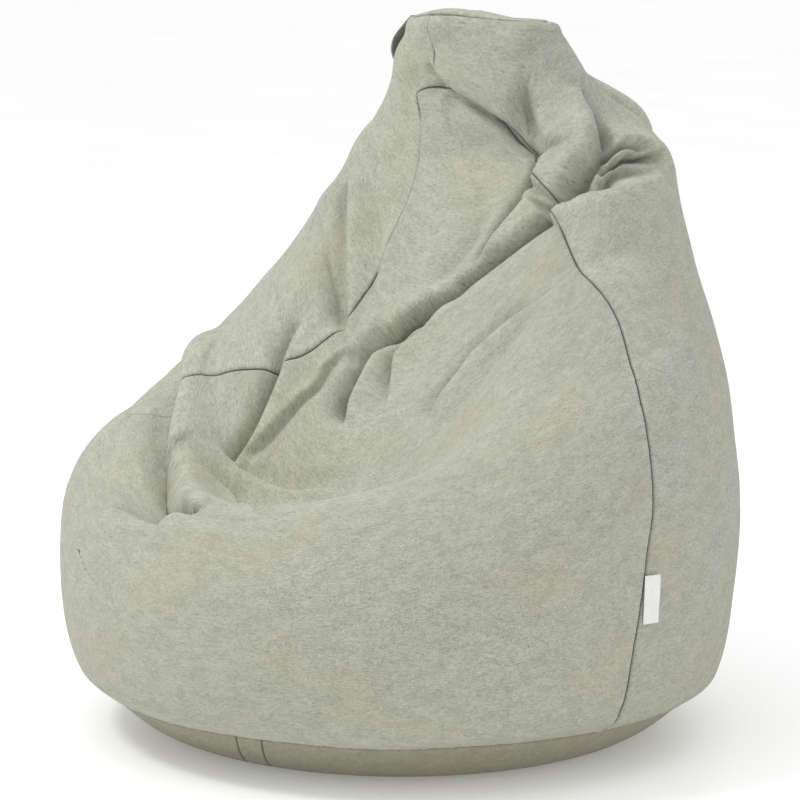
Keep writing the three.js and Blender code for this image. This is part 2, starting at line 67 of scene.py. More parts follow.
# The filled bag, in millimetres, for a bag 900 wide and 950 high. Stations run from the middle
# of the base out along the floor, up the bag and in to its cap.
bag = {
    "drawnHeight": 950.0,
    "drawnBack": 453.6,
    "front": [(0, 0), (-280, 0), (-400, 64), (-428, 100), (-448, 190), (-434, 292), (-362, 356),
              (-236, 316), (-86, 446), (58, 612), (140, 744), (138, 866), (137, 941), (198, 949)],
    "side": [(0, 0, 0), (286, 0, 0), (411, 0, 66), (438, 0, 106), (450, 4, 218), (440, 12, 345),
             (380, 38, 474), (292, 92, 592), (240, 156, 692), (212, 208, 776), (142, 232, 846),
             (116, 216, 908), (100, 200, 939), (0, 198, 949)],
    "back": [(0, 0), (282, 0), (403, 70), (428, 118), (448, 250), (453, 400), (453, 540),
             (446, 664), (430, 756), (404, 822), (320, 872), (280, 912), (260, 932), (198, 949)],
    "shift": [0, 0, 0, 0, 0, 4, 20, 36, 28, 20, 6, 0, 0, 0],
    "rightSeam": [70, 71, 73, 74, 77, 77, 54, 48.5, 29, 22, 28, 50, 60, 60],
    "leftSeam": [70, 71, 73, 74, 77, 79, 80, 78, 63, 46, 41, 56, 60, 60],
    "floorEdge": 1, "capMiddle": 13,
    "archRow": 10.5, "archTop": 0.22, "archFall": (0.27, 0.92), "archReach": 1.2,
    "seamTurn": 80.0, "hoodLean": 24,
}
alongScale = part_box("left_back_panel")[1][1] / (bag["drawnBack"] * mm)
upScale = cadBox[1][2] / (bag["drawnHeight"] * mm)
track = {
    "frontY": np.array([p[0] for p in bag["front"]]) * mm * alongScale,
    "frontZ": np.array([p[1] for p in bag["front"]]) * mm * upScale,
    "sideX": np.array([p[0] for p in bag["side"]]) * mm * alongScale,
    "sideY": np.array([p[1] for p in bag["side"]]) * mm * alongScale,
    "sideZ": np.array([p[2] for p in bag["side"]]) * mm * upScale,
    "backY": np.array([p[0] for p in bag["back"]]) * mm * alongScale,
    "backZ": np.array([p[1] for p in bag["back"]]) * mm * upScale,
    "shift": np.array(bag["shift"]) * mm * alongScale,
    "rightSeam": np.radians(bag["rightSeam"]),
    "leftSeam": np.radians(bag["leftSeam"]),
}
seamTurn = math.radians(bag["seamTurn"])


def smooth(t):
    t = np.clip(t, 0, 1)
    return t * t * (3 - 2 * t)


def through(name, station):
    values = track[name]
    last = len(values) - 1
    i = np.clip(np.floor(station).astype(int), 0, last - 1)
    t = station - i

    def at(k):
        return values[np.clip(k, 0, last)]

    def slope(k):
        m = (at(k + 1) - at(k - 1)) / 2
        return np.where(k <= bag["floorEdge"], 0.0, m) if name.endswith("Z") else m

    t2, t3 = t * t, t * t * t
    return ((2 * t3 - 3 * t2 + 1) * at(i) + (t3 - 2 * t2 + t) * slope(i)
            + (3 * t2 - 2 * t3) * at(i + 1) + (t3 - t2) * slope(i + 1))


# A point of the bag before its folds. The angle is 0 at the front and grows towards +X.
def bagPoint(angle, station):
    c = np.cos(angle)
    y = np.where(c > 0, through("frontY", station), through("backY", station))
    z = np.where(c > 0, through("frontZ", station), through("backZ", station))
    sideY, sideZ = through("sideY", station), through("sideZ", station)
    x = through("shift", station) + through("sideX", station) * np.sin(angle)
    return np.stack([x, sideY + (y - sideY) * np.abs(c), sideZ + (z - sideZ) * c * c], axis=-1)


def unit(v):
    return v / np.maximum(np.linalg.norm(v, axis=-1, keepdims=True), 1e-12)


def bagNormal(angle, station):
    e = 1e-3
    low, high = np.maximum(station - e, 0.02), np.minimum(station + e, bag["capMiddle"] - 0.02)
    n = np.cross(bagPoint(angle + e, station) - bagPoint(angle - e, station),
                 bagPoint(angle, high) - bagPoint(angle, low))
    n = unit(n)
    n[np.asarray(station) <= bag["floorEdge"]] = (0, 0, -1)
    n[np.asarray(station) >= bag["capMiddle"] - 0.01] = (0, 0, 1)
    return n


# The angle and station of a place in the net, whose columns follow the side seams.
def netPlace(turn, row):
    out = np.minimum(1, np.abs(turn) / seamTurn)
    past = np.maximum(0, (np.abs(turn) - seamTurn) / (math.pi - seamTurn))
    bend = np.maximum(0, 1 - np.abs(row - bag["archRow"]) / bag["archReach"])
    fall = np.where(turn < 0, *bag["archFall"])
    station = row + bend * (bag["archTop"] - fall * out * out) * (1 - past)
    seam = np.where(turn < 0, through("rightSeam", station), through("leftSeam", station))
    lean = math.radians(bag["hoodLean"]) * (1 - out) * smooth((row - 9.6) / 2.2)
    return np.sign(turn) * (seam * out + (math.pi - seam) * past) - lean, station


# Evenly spaced values with closer ones beside both ends, where the seams are.
def spaced(a, b, count, close=(0.0, 0.0)):
    plain = np.linspace(a, b, count + 1)
    extra = [a + close[0] * k for k in (0.25, 0.6, 1.1) if close[0]]
    extra += [b - close[1] * k for k in (0.25, 0.6, 1.1) if close[1]]
    return np.unique(np.concatenate([plain, extra]).round(7))


net = {"frontColumns": 150, "backColumns": 110, "closeTurn": 0.013, "closeRow": 0.055,
       "rowBands": [(2, 5.3, 24), (5.3, 9.7, 60), (9.7, 10.5, 50)], "hoodBand": 36}
ct, cr = net["closeTurn"], net["closeRow"]
turnParts = [
    spaced(-math.pi, -seamTurn, net["backColumns"], (ct, ct)),
    spaced(-seamTurn, 0, net["frontColumns"], (ct, ct)),
    spaced(0, seamTurn, net["frontColumns"], (ct, ct)),
    spaced(seamTurn, math.pi, net["backColumns"], (ct, ct)),
]
bands = [spaced(a, b, int((b - a) * per), (cr if a == 2 else 0, cr if b == bag["archRow"] else 0))
         for a, b, per in net["rowBands"]]
rowParts = [
    spaced(0, 1, 12),
    spaced(1, 2, 26, (0.0, cr * 0.45)),
    np.unique(np.concatenate(bands)),
    spaced(bag["archRow"], 12, int(net["hoodBand"] * 1.5), (cr, cr)),
    spaced(12, 13, 20, (cr, 0.0)),
]


def joined(parts):
    marks = np.cumsum([0] + [len(p) - 1 for p in parts])
    return np.concatenate([parts[0][:1]] + [p[1:] for p in parts]), [int(m) for m in marks]


turns, (_, frontStart, frontMiddle, frontEnd, _) = joined(turnParts)
rows, (_, floorRow, baseRow, archIndex, capRow, _) = joined(rowParts)
turnGrid, rowGrid = np.meshgrid(turns[:-1], rows, indexing="ij")
angleGrid, stationGrid = netPlace(turnGrid, rowGrid)
plainPlaces = bagPoint(angleGrid, stationGrid)
plainNormals = bagNormal(angleGrid, stationGrid)
columnCount, rowCount = turnGrid.shape
print("net", columnCount, "by", rowCount)


# Folds. A line is given by angles and stations on the filled bag, from its first point to its
# last. A lap has its roll on one side of the line and its gap on the other: lap 1 puts the roll
# on the left of a walker on the bag who follows the line, and -1 on the right. Millimetres.
folds = [
    # the hood's edge over the top of the front panel, along their seam
    {"line": [(-26, 11.08), (-8.3, 10.8), (14.8, 10.57), (31.8, 10.22), (40.2, 9.87), (45.1, 9.61)],
     "lap": 1, "rise": 9, "wide": 30, "gap": 13, "gapWide": 15, "over": 4, "ends": (0.12, 0.05)},
    {"line": [(-8.3, 10.79), (-18.8, 10.7), (-31.9, 10.47)], "valley": 7, "wide": 9, "ends": (0.1, 0.5)},
    {"line": [(54, 11.2), (49, 10.7), (47, 10.4), (46.5, 10.1), (46.5, 9.8), (45.5, 9.6)],
     "lap": 1, "rise": 12, "wide": 40, "gap": 19, "gapWide": 19, "over": 2, "ends": (0.6, 0.1)},
    # the flap that comes down over the shoulder
    {"line": [(97, 10.3), (86, 9.85), (76, 9.5), (67, 9.33), (59, 9.25), (53, 9.18), (48.5, 9.1),
              (45, 8.99)],
     "lap": -1, "rise": 14, "wide": 42, "gap": 36, "gapWide": 22, "over": 11, "ends": (0.25, 0.06)},
    {"line": [(45, 9.65), (41.5, 9.5), (39.5, 9.4), (42, 9.2), (46, 9.0)],
     "lap": 1, "rise": 6, "wide": 18, "gap": 8, "gapWide": 9, "over": 2, "ends": (0.1, 0.1)},
    # the shoulder's two rolls and the flank's upper lip
    {"line": [(66, 9.32), (75, 9.24), (86, 9.17), (95, 9.1), (107, 8.92)],
     "lap": 1, "rise": 9, "wide": 20, "gap": 23, "gapWide": 12, "over": 5, "ends": (0.1, 0.3)},
    {"line": [(62, 9.12), (70, 9.06), (79, 8.99), (92, 8.93), (103, 8.84), (115, 8.65)],
     "lap": 1, "rise": 7, "wide": 16, "gap": 28, "gapWide": 15, "over": 5, "ends": (0.1, 0.25)},
    {"line": [(44, 8.9), (50, 8.9), (60, 8.78), (70, 8.6), (82, 8.48), (96, 8.5), (112, 8.62)],
     "lap": -1, "rise": 13, "wide": 34, "gap": 33, "gapWide": 26, "over": 10, "ends": (0.05, 0.3)},
    # the long pleat from the hood down to the seat: a narrow band between two lines
    {"line": [(45, 9.6), (39.5, 9.38), (33.5, 9.27), (28, 9.18), (24, 9.08), (18.5, 8.98), (10, 8.88)],
     "lap": 1, "rise": 9, "wide": 22, "gap": 26, "gapWide": 12, "over": 6, "ends": (0.05, 0.3)},
    {"line": [(46.5, 8.95), (40, 8.97), (34.5, 8.96), (29, 8.93), (23.5, 8.9), (16.5, 8.85),
              (12, 8.79), (4, 8.7),
              (-1.5, 8.62), (-5, 8.54), (-8, 8.42), (-9.3, 8.27)],
     "lap": -1, "rise": 9, "wide": 20, "gap": 34, "gapWide": 17, "over": 9, "ends": (0.04, 0.14)},
    {"line": [(-6, 8.52), (-8.6, 8.36), (-9.5, 8.24), (-9.7, 8.12), (-9.7, 8.0), (-9, 7.87), (-7.8, 7.72)],
     "lap": 1, "rise": 10, "wide": 24, "gap": 30, "gapWide": 17, "over": 7, "ends": (0.12, 0.25)},
    {"line": [(12, 8.8), (9, 8.66), (5.5, 8.52), (-0.7, 8.39), (-1.7, 8.29), (3, 8.0), (7, 7.65)],
     "lap": 1, "rise": 6, "wide": 18, "gap": 19, "gapWide": 13, "over": 5, "ends": (0.15, 0.45)},
    # the valley on the sitter's left
    {"line": [(58, 7.88), (46.5, 7.98), (38.5, 8.0), (32.5, 7.97), (28.3, 7.84), (25, 7.72), (22.5, 7.58)],
     "lap": 1, "rise": 8, "wide": 26, "gap": 17, "gapWide": 20, "over": 5, "ends": (0.35, 0.25)},
    # creases of the backrest's foot, on the sitter's right
    {"line": [(-42, 8.05), (-40, 7.85), (-38.2, 7.69), (-36.2, 7.58), (-34.4, 7.42), (-32, 7.2),
              (-30.5, 7.02), (-29, 6.88)],
     "lap": 1, "rise": 9, "wide": 22, "gap": 20, "gapWide": 15, "over": 7, "ends": (0.25, 0.1)},
    {"line": [(-17, 8.35), (-19.5, 8.15), (-21.8, 7.98), (-22, 7.85), (-25, 7.66), (-27, 7.42),
              (-28, 7.15), (-28.5, 6.93)],
     "lap": -1, "rise": 6, "wide": 13, "gap": 8, "gapWide": 10, "over": 2, "ends": (0.3, 0.15)},
    # the crevice between the arm and the backrest, the belly's lip under it and the bulge at its foot
    {"line": [(-84, 6.5), (-63.6, 6.45), (-51.7, 6.49), (-43, 6.43), (-37.8, 6.38), (-27.2, 6.34),
              (-17, 6.1), (-8.6, 5.77)],
     "lap": 1, "rise": 6, "wide": 34, "gap": 44, "gapWide": 66, "over": 12, "ends": (0.2, 0.05)},
    {"line": [(-34, 5.3), (-26, 5.48), (-19.7, 5.58), (-8, 5.72), (2, 5.72), (14, 5.6)],
     "lap": -1, "rise": 8, "wide": 60, "gap": 14, "gapWide": 34, "over": 5, "ends": (0.2, 0.4)},
    {"line": [(-36, 6.4), (-32.6, 6.47), (-26.2, 6.67), (-19, 6.8), (-8, 6.55), (2, 6.1), (9, 5.7)],
     "lap": -1, "rise": 4, "wide": 14, "gap": 12, "gapWide": 16, "over": 2, "ends": (0.1, 0.15)},
    {"line": [(-29, 6.91), (-22.7, 7.09), (-13, 7.25), (-3.2, 7.37), (9, 7.3)],
     "lap": -1, "rise": 5, "wide": 22, "gap": 8, "gapWide": 20, "over": 2, "ends": (0.12, 0.4)},
    # soft valleys on the sitter's right flank and down the backrest
    {"line": [(-74, 8.0), (-66, 8.18), (-50, 8.36), (-39, 8.37), (-31.5, 8.32), (-25, 8.22)],
     "valley": 12, "wide": 20, "ends": (0.3, 0.2)},
    {"line": [(-72, 9.02), (-60, 9.07), (-44, 9.11), (-31, 8.99), (-24, 8.81), (-21, 8.6),
              (-21, 8.3), (-22.5, 8.1)],
     "lap": 1, "rise": 4, "wide": 40, "gap": 9, "gapWide": 24, "over": 0, "ends": (0.45, 0.15)},
    {"line": [(-31, 10.25), (-23, 10.0), (-8, 9.8), (1.6, 9.53), (-1.6, 9.2), (-4, 8.95), (-5, 8.7)],
     "ridge": 6, "wide": 30, "ends": (0.3, 0.3)},
    {"line": [(7, 9.85), (14.5, 9.43), (13.8, 9.15), (8, 8.95), (2, 8.78)],
     "valley": 10, "wide": 17, "ends": (0.35, 0.25)},
    {"line": [(-16.8, 8.27), (-15.2, 8.12)], "valley": 8, "wide": 11, "ends": (0.5, 0.5)},
    {"line": [(-64, 9.1), (-60.8, 8.91), (-52, 8.8), (-44, 8.68), (-31.8, 8.44), (-23.2, 8.24)],
     "lap": 1, "rise": 6, "wide": 26, "gap": 15, "gapWide": 18, "over": 3, "ends": (0.35, 0.1)},
    {"line": [(28.1, 7.23), (35.7, 7.54), (45.5, 7.71), (60.5, 7.73)],
     "valley": 7, "wide": 13, "ends": (0.3, 0.35)},
    # slack folds behind: down the back from the hood, and across the flank on the sitter's right
    {"line": [(150, 10.6), (146, 9.8), (138, 9.0), (128, 8.3)],
     "lap": 1, "rise": 8, "wide": 34, "gap": 14, "gapWide": 22, "over": 4, "ends": (0.2, 0.4)},
    {"line": [(-168, 10.9), (-160, 10.0), (-150, 9.1), (-143, 8.3)],
     "lap": -1, "rise": 8, "wide": 32, "gap": 13, "gapWide": 22, "over": 4, "ends": (0.2, 0.4)},
    {"line": [(-104, 9.9), (-118, 9.3), (-132, 8.8), (-140, 8.1)],
     "lap": 1, "rise": 7, "wide": 30, "gap": 12, "gapWide": 20, "over": 3, "ends": (0.25, 0.4)},
    {"line": [(-96, 7.7), (-112, 7.9), (-128, 7.85)], "valley": 8, "wide": 26, "ends": (0.4, 0.4)},
    {"line": [(128, 7.6), (146, 7.9), (166, 7.8)], "valley": 7, "wide": 28, "ends": (0.4, 0.4)},
    # the flank below the side seam's top
    {"line": [(50, 8.75), (55, 8.4), (64, 7.95), (71, 7.7), (80, 7.5)],
     "valley": 5, "wide": 20, "ends": (0.3, 0.4)},
    {"line": [(66, 7.7), (78, 7.72), (91, 7.6), (105, 7.5)], "valley": 8, "wide": 26, "ends": (0.3, 0.4)},
]


def lineOnBag(fold, count=120):
    points = fold["line"]
    knots = np.array([points[0]] + list(points) + [points[-1]], float)
    knots[0] = 2 * knots[1] - knots[2]
    knots[-1] = 2 * knots[-2] - knots[-3]
    share = np.linspace(0, len(points) - 1, count)
    i = np.minimum(share.astype(int), len(points) - 2)
    t = (share - i)[:, None]
    p0, p1, p2, p3 = knots[i], knots[i + 1], knots[i + 2], knots[i + 3]
    place = 0.5 * (2 * p1 + (p2 - p0) * t + (2 * p0 - 5 * p1 + 4 * p2 - p3) * t ** 2
                   + (3 * p1 - p0 - 3 * p2 + p3) * t ** 3)
    angle, station = np.radians(place[:, 0]), place[:, 1]
    return bagPoint(angle, station), bagNormal(angle, station)


foldDepth = 1.3  # how much deeper the gaps are than in the table


def foldShift(fold, places):
    line, normals = lineOnBag(fold)
    along = unit(np.gradient(line, axis=0))
    side = unit(np.cross(normals, along))
    length = np.linalg.norm(np.diff(line, axis=0), axis=1).sum()
    wide = fold["wide"] * mm
    reach = 2.6 * max(wide, fold.get("gapWide", 0) * mm)
    low, high = line.min(0) - reach, line.max(0) + reach
    near = np.flatnonzero(((places > low) & (places < high)).all(1))
    shift = np.zeros_like(places)
    if not len(near):
        return shift
    p = places[near]
    d2 = (p ** 2).sum(1)[:, None] - 2 * p @ line.T + (line ** 2).sum(1)[None, :]
    k = d2.argmin(1)
    away = p - line[k]
    s = (away * side[k]).sum(1)
    t = k / (len(line) - 1) + (away * along[k]).sum(1) / length
    a, b = fold["ends"]
    keep = smooth(t / a) * smooth((1 - t) / b) * (np.sqrt(np.maximum(d2[np.arange(len(p)), k], 0)) < reach)
    if "lap" in fold:
        s = s * fold["lap"]
        q = np.maximum(s, 0) / wide
        steep = max(0.2 * wide, 6 * mm)
        roll = (1 - np.exp(-(np.maximum(s, 0) / steep) ** 2)) * np.exp(-q ** 2) * fold["rise"]
        dive = -fold["gap"] * foldDepth * np.exp(-(s / np.where(s > 0, steep, fold["gapWide"] * mm)) ** 2)
        over = fold["over"] * np.exp(-((s - 1.1 * steep) / (1.1 * steep)) ** 2)
        shift[near] = normals[k] * ((roll + dive) * keep * mm)[:, None]
        shift[near] -= side[k] * (fold["lap"] * over * keep * mm)[:, None]
    else:
        rise = fold.get("ridge", 0) - fold.get("valley", 0) * foldDepth
        shape = np.exp(-(s / wide) ** 2) if rise > 0 else np.exp(-np.abs(s / wide) ** 1.5)
        shift[near] = normals[k] * (rise * shape * keep * mm)[:, None]
    return shift


flatPlaces = plainPlaces.reshape(-1, 3)
folded = flatPlaces.copy()
for fold in folds:
    folded += foldShift(fold, flatPlaces)


# Dents and swellings of the whole bag: a place on it, a height and a spread, in millimetres.
swells = [
    ((-14, 6.7), -16, 110),
    ((52, 6.6), 8, 110),
    ((-50, 5.5), 12, 80),
    ((40, 5.2), 6, 150),
    ((-76, 10.1), 20, 60),
    ((-76, 8.7), 8, 90),
    ((-74, 6.65), -14, 45),
    ((100, 9.62), -24, 52),
    ((-76, 10.7), 10, 40),
    ((84, 11.6), 5, 40),
    ((112, 8.62), 20, 75),
]
for (angle, station), height, spread in swells:
    middle = bagPoint(np.radians([angle]), np.array([float(station)]))[0]
    out = bagNormal(np.radians([angle]), np.array([float(station)]))[0]
    near = np.exp(-((flatPlaces - middle) ** 2).sum(1) / (spread * mm) ** 2)
    folded += out * (height * mm * near)[:, None]


# Slow uneven waves over the whole cover, from sines in seeded directions.
def waves(places, size, count, seed):
    draw = np.random.RandomState(seed)
    total = np.zeros(len(places))
    for _ in range(count):
        way = draw.normal(size=3)
        way /= np.linalg.norm(way)
        turn = places @ way * (2 * math.pi / (size * draw.uniform(0.7, 1.5)))
        total += np.sin(turn + draw.uniform(0, 6.28))
    return total / math.sqrt(count)


lift = smooth((stationGrid.ravel() - 1.2) / 1.2)
slack = smooth((stationGrid.ravel() - 4) / 3)
unevenness = (waves(flatPlaces, 0.22, 14, 3) * (1.2 + 1.6 * slack)
              + waves(flatPlaces, 0.09, 14, 4) * (0.35 + 0.6 * slack)) * lift * mm
folded += plainNormals.reshape(-1, 3) * unevenness[:, None]
folded = folded.reshape(columnCount, rowCount, 3)
print("folds laid")


def blurred(values, passes):
    for _ in range(passes):
        pad = np.concatenate([values[-1:], values, values[:1]])
        values = (pad[:-2] + 2 * pad[1:-1] + pad[2:]) / 4
        pad = np.concatenate([values[:, :1], values, values[:, -1:]], axis=1)
        values = (pad[:, :-2] + 2 * pad[:, 1:-1] + pad[:, 2:]) / 4
    return values


def gridNormals(grid):
    ring = np.concatenate([grid[-1:], grid, grid[:1]], axis=0)
    n = np.cross(ring[2:] - ring[:-2], np.gradient(grid, axis=1))
    n[:, 0] = (0, 0, -1)
    n[:, -1] = (0, 0, 1)
    return unit(n)


def placed(name, data):
    obj = bpy.data.objects.new(name, data)
    scene.collection.objects.link(obj)
    return obj


# Faces between the points of a grid whose first axis closes on itself.
def ringFaces(ring, high):
    i, j = np.meshgrid(np.arange(ring), np.arange(high - 1), indexing="ij")
    k = (i + 1) % ring
    return np.stack([i * high + j, k * high + j, k * high + j + 1, i * high + j + 1], -1).reshape(-1, 4)


# Faces between the points of a grid whose second axis closes on itself.
def tubeFaces(rings, around):
    i, j = np.meshgrid(np.arange(rings - 1), np.arange(around), indexing="ij")
    k = (j + 1) % around
    near, far = i * around, (i + 1) * around
    return np.stack([near + j, near + k, far + k, far + j], -1).reshape(-1, 4)


# The cover swells and wrinkles as cloth over a coarser closed net, then the moves go to the fine
# one. No move is longer than the cap, in millimetres, and near a joint's root there is none.
simulation = {"step": 3, "frames": 20, "pressure": 1.6, "growth": 0.022, "bend": 0.25, "cap": 9.0,
              "held": (1.6, 12.4), "stillNear": 0.05, "stillFade": 0.08}


def settle(grid):
    columns = np.arange(0, columnCount, simulation["step"])
    marks = [floorRow, baseRow, archIndex, capRow]
    rowPick = np.unique(np.concatenate([np.arange(1, rowCount - 1, simulation["step"]), marks]))
    coarse = grid[columns][:, rowPick]
    nc, nr = coarse.shape[:2]
    places = np.concatenate([coarse.reshape(-1, 3), grid[:1, 0], grid[:1, -1]])
    c = np.arange(nc)
    d = (c + 1) % nc
    low = np.stack([d * nr, c * nr, np.full(nc, nc * nr)], 1)
    high = np.stack([c * nr + nr - 1, d * nr + nr - 1, np.full(nc, nc * nr + 1)], 1)
    mesh = bpy.data.meshes.new("settling")
    mesh.from_pydata(places.tolist(), [], ringFaces(nc, nr).tolist() + low.tolist() + high.tolist())
    obj = placed("settling", mesh)
    held = obj.vertex_groups.new(name="held")
    stations = np.concatenate([np.broadcast_to(rows[rowPick], (nc, nr)).ravel(), [0, 13]])
    first, last = simulation["held"]
    held.add([int(v) for v in np.flatnonzero((stations < first) | (stations > last))], 1.0, "REPLACE")
    cloth = obj.modifiers.new("cloth", "CLOTH")
    cloth.settings.quality = 5
    cloth.settings.mass = 0.3
    cloth.settings.tension_stiffness = cloth.settings.compression_stiffness = 18
    cloth.settings.shear_stiffness = 6
    cloth.settings.bending_stiffness = simulation["bend"]
    cloth.settings.use_pressure = True
    cloth.settings.uniform_pressure_force = simulation["pressure"]
    cloth.settings.shrink_min = -simulation["growth"]
    cloth.settings.vertex_group_mass = "held"
    cloth.settings.effector_weights.gravity = 0
    cloth.collision_settings.use_collision = False
    cloth.point_cache.frame_end = simulation["frames"]
    for frameNumber in range(1, simulation["frames"] + 1):
        scene.frame_set(frameNumber)
    done = obj.evaluated_get(bpy.context.evaluated_depsgraph_get())
    out = np.empty(len(places) * 3)
    done.data.vertices.foreach_get("co", out)
    moves = (out.reshape(-1, 3) - places)[:-2].reshape(nc, nr, 3)
    scene.frame_set(1)
    bpy.data.objects.remove(obj)
    far = np.linalg.norm(moves, axis=-1, keepdims=True)
    cap = simulation["cap"] * mm
    moves *= cap * np.tanh(far / cap) / np.maximum(far, 1e-9)
    across = np.empty((columnCount, nr, 3))
    for jj in range(nr):
        for axis in range(3):
            across[:, jj, axis] = np.interp(np.arange(columnCount), columns, moves[:, jj, axis],
                                            period=columnCount)
    full = np.zeros_like(grid)
    for axis in range(3):
        for ii in range(columnCount):
            full[ii, :, axis] = np.interp(np.arange(rowCount), rowPick, across[ii, :, axis])
    print("cloth moved points by up to", round(float(far.max() / mm), 1), "mm before the cap")
    return blurred(full, 2)


handleJoint = next(j for j in frame["record"]["behaviour"]["joints"] if j["name"] == "handle_swing")
labelJoint = next(j for j in frame["record"]["behaviour"]["joints"] if j["name"] == "label_flip")
move = settle(folded)
for place in (handleJoint["pos_m"], labelJoint["pos_m"]):
    near = np.linalg.norm(plainPlaces - np.array(place), axis=-1)
    move *= smooth((near - simulation["stillNear"]) / simulation["stillFade"])[..., None]
folded = folded + move * smooth((stationGrid - 1.95) / 1.3)[..., None]
print("cloth settled")

# Seams: how far each point of the net is from its nearest seam, and how far along that seam.
seams = {"groove": 2.3, "width": 1.8, "pucker": 0.55, "reach": 13.0}
ringed = np.concatenate([folded, folded[:1]])
stepAcross = np.linalg.norm(np.diff(ringed, axis=0), axis=-1)
stepUp = np.linalg.norm(np.diff(folded, axis=1), axis=-1)
acrossLength = np.concatenate([np.zeros((1, rowCount)), np.cumsum(stepAcross, axis=0)])
upLength = np.concatenate([np.zeros((columnCount, 1)), np.cumsum(stepUp, axis=1)], axis=1)
whole = acrossLength[-1:]
acrossLength = acrossLength[:-1]


def fromColumn(k):
    d = np.abs(acrossLength - acrossLength[k % columnCount])
    return np.minimum(d, whole - d)


def fromRow(j):
    return np.abs(upLength - upLength[:, j:j + 1])


wallRows = (rowGrid >= 2) & (rowGrid <= 12)
frontRows = (rowGrid >= 2) & (rowGrid <= bag["archRow"])
hiddenStretch = 1 - 0.9 * smooth((rowGrid - 8.75) / 0.2) * smooth((10.35 - rowGrid) / 0.15)
hiddenStretch -= 0.85 * smooth((6.5 - rowGrid) / 0.15) * smooth((rowGrid - 2.6) / 0.6)
fading = 1 - 0.9 * smooth((rowGrid - 11.0) / 0.3)
seamLines = [
    (fromColumn(frontStart), upLength, frontRows, hiddenStretch),
    (fromColumn(frontEnd), upLength, frontRows, 1), (fromColumn(0), upLength, wallRows, 1),
    (fromColumn(frontMiddle), upLength, wallRows & ~frontRows, fading),
    (fromRow(baseRow), acrossLength, rowGrid >= 0, 1), (fromRow(capRow), acrossLength, rowGrid >= 0, 0.7),
    (fromRow(archIndex), acrossLength, np.abs(turnGrid) <= seamTurn + 1e-6, 1),
]
seamShade = np.zeros(rowGrid.shape)
depth = np.zeros(rowGrid.shape)
draw = np.random.RandomState(11)
for away, along, active, share in seamLines:
    d = np.where(active, away, 1.0)
    groove = np.exp(-(d / (seams["width"] * mm)) ** 2)
    ripple = sum(np.sin(along * (2 * math.pi / (size * mm)) + draw.uniform(0, 6.28))
                 for size in (11, 17, 27, 43)) / 2
    flank = np.exp(-(d / (seams["reach"] * mm)) ** 2) * (1 - np.exp(-(d / (3.2 * mm)) ** 2))
    depth += (flank * (0.8 + seams["pucker"] * ripple) - groove * seams["groove"]) * share * mm
    # This mask marks a thin band along each seam, which the cloth paints darker: painted shade in the seam's
    # groove.
    seamShade = np.maximum(seamShade, share * np.exp(-(d / (1.5 * mm)) ** 2))
folded = folded + gridNormals(folded) * (np.clip(depth, -seams["groove"] * mm, 2 * mm)
                                        * smooth((rowGrid - 1.2) / 0.5))[..., None]
print("seams pressed")


# Sets or links a node's inputs.
def plug(tree, node, values):
    for key, value in values.items():
        if isinstance(value, Wire):
            tree.links.new(value.socket, node.inputs[key])
        else:
            node.inputs[key].default_value = value


# Wraps a shader socket so that nodes can be written as sums.
class Wire:
    def __init__(self, tree, socket):
        self.tree, self.socket = tree, socket

    def node(self, kind, inputs=None, out=0, **settings):
        n = self.tree.nodes.new(kind)
        for key, value in settings.items():
            setattr(n, key, value)
        plug(self.tree, n, inputs or {})
        return Wire(self.tree, n.outputs[out])

    def math(self, operation, *others):
        return self.node("ShaderNodeMath", dict(enumerate((self, *others))), operation=operation)

    def __add__(self, other):
        return self.math("ADD", other)

    def __rsub__(self, other):
        return (self * -1.0) + other

    def __mul__(self, other):
        return self.math("MULTIPLY", other)

    def between(self, low, high):
        return self.node("ShaderNodeMapRange", {"Value": self, "From Min": low, "From Max": high},
                         interpolation_type="SMOOTHSTEP")

    def mixed(self, first, second):
        n = self.tree.nodes.new("ShaderNodeMix")
        n.data_type = "RGBA"
        first, second = (c if isinstance(c, Wire) else (*c, 1) for c in (first, second))
        plug(self.tree, n, {"Factor": self, 6: first, 7: second})
        return Wire(self.tree, n.outputs[2])

    def parts(self):
        split = self.node("ShaderNodeSeparateXYZ", {0: self}).socket.node
        return [Wire(self.tree, socket) for socket in split.outputs]


def material(name):
    made = bpy.data.materials.new(name)
    made.use_nodes = True
    tree = made.node_tree
    shader = tree.nodes["Principled BSDF"]
    return made, tree, shader, Wire(tree, None)


def noise(start, x, y, z, detail=2.0, rough=0.5):
    vector = start.node("ShaderNodeCombineXYZ", {0: x, 1: y, 2: z})
    return start.node("ShaderNodeTexNoise", {"Vector": vector, "Scale": 1.0, "Detail": detail,
                                             "Roughness": rough})


# Melange cloth: a plain weave whose threads vary along their length, with a few dark flecks, and painted shade
# that darkens it along the seams.
clothLooks = {
    "light": (0.525, 0.54, 0.455), "dark": (0.31, 0.32, 0.26), "warm": (0.5, 0.485, 0.36),
    "fleck": (0.17, 0.175, 0.145), "threads": 700.0,
}


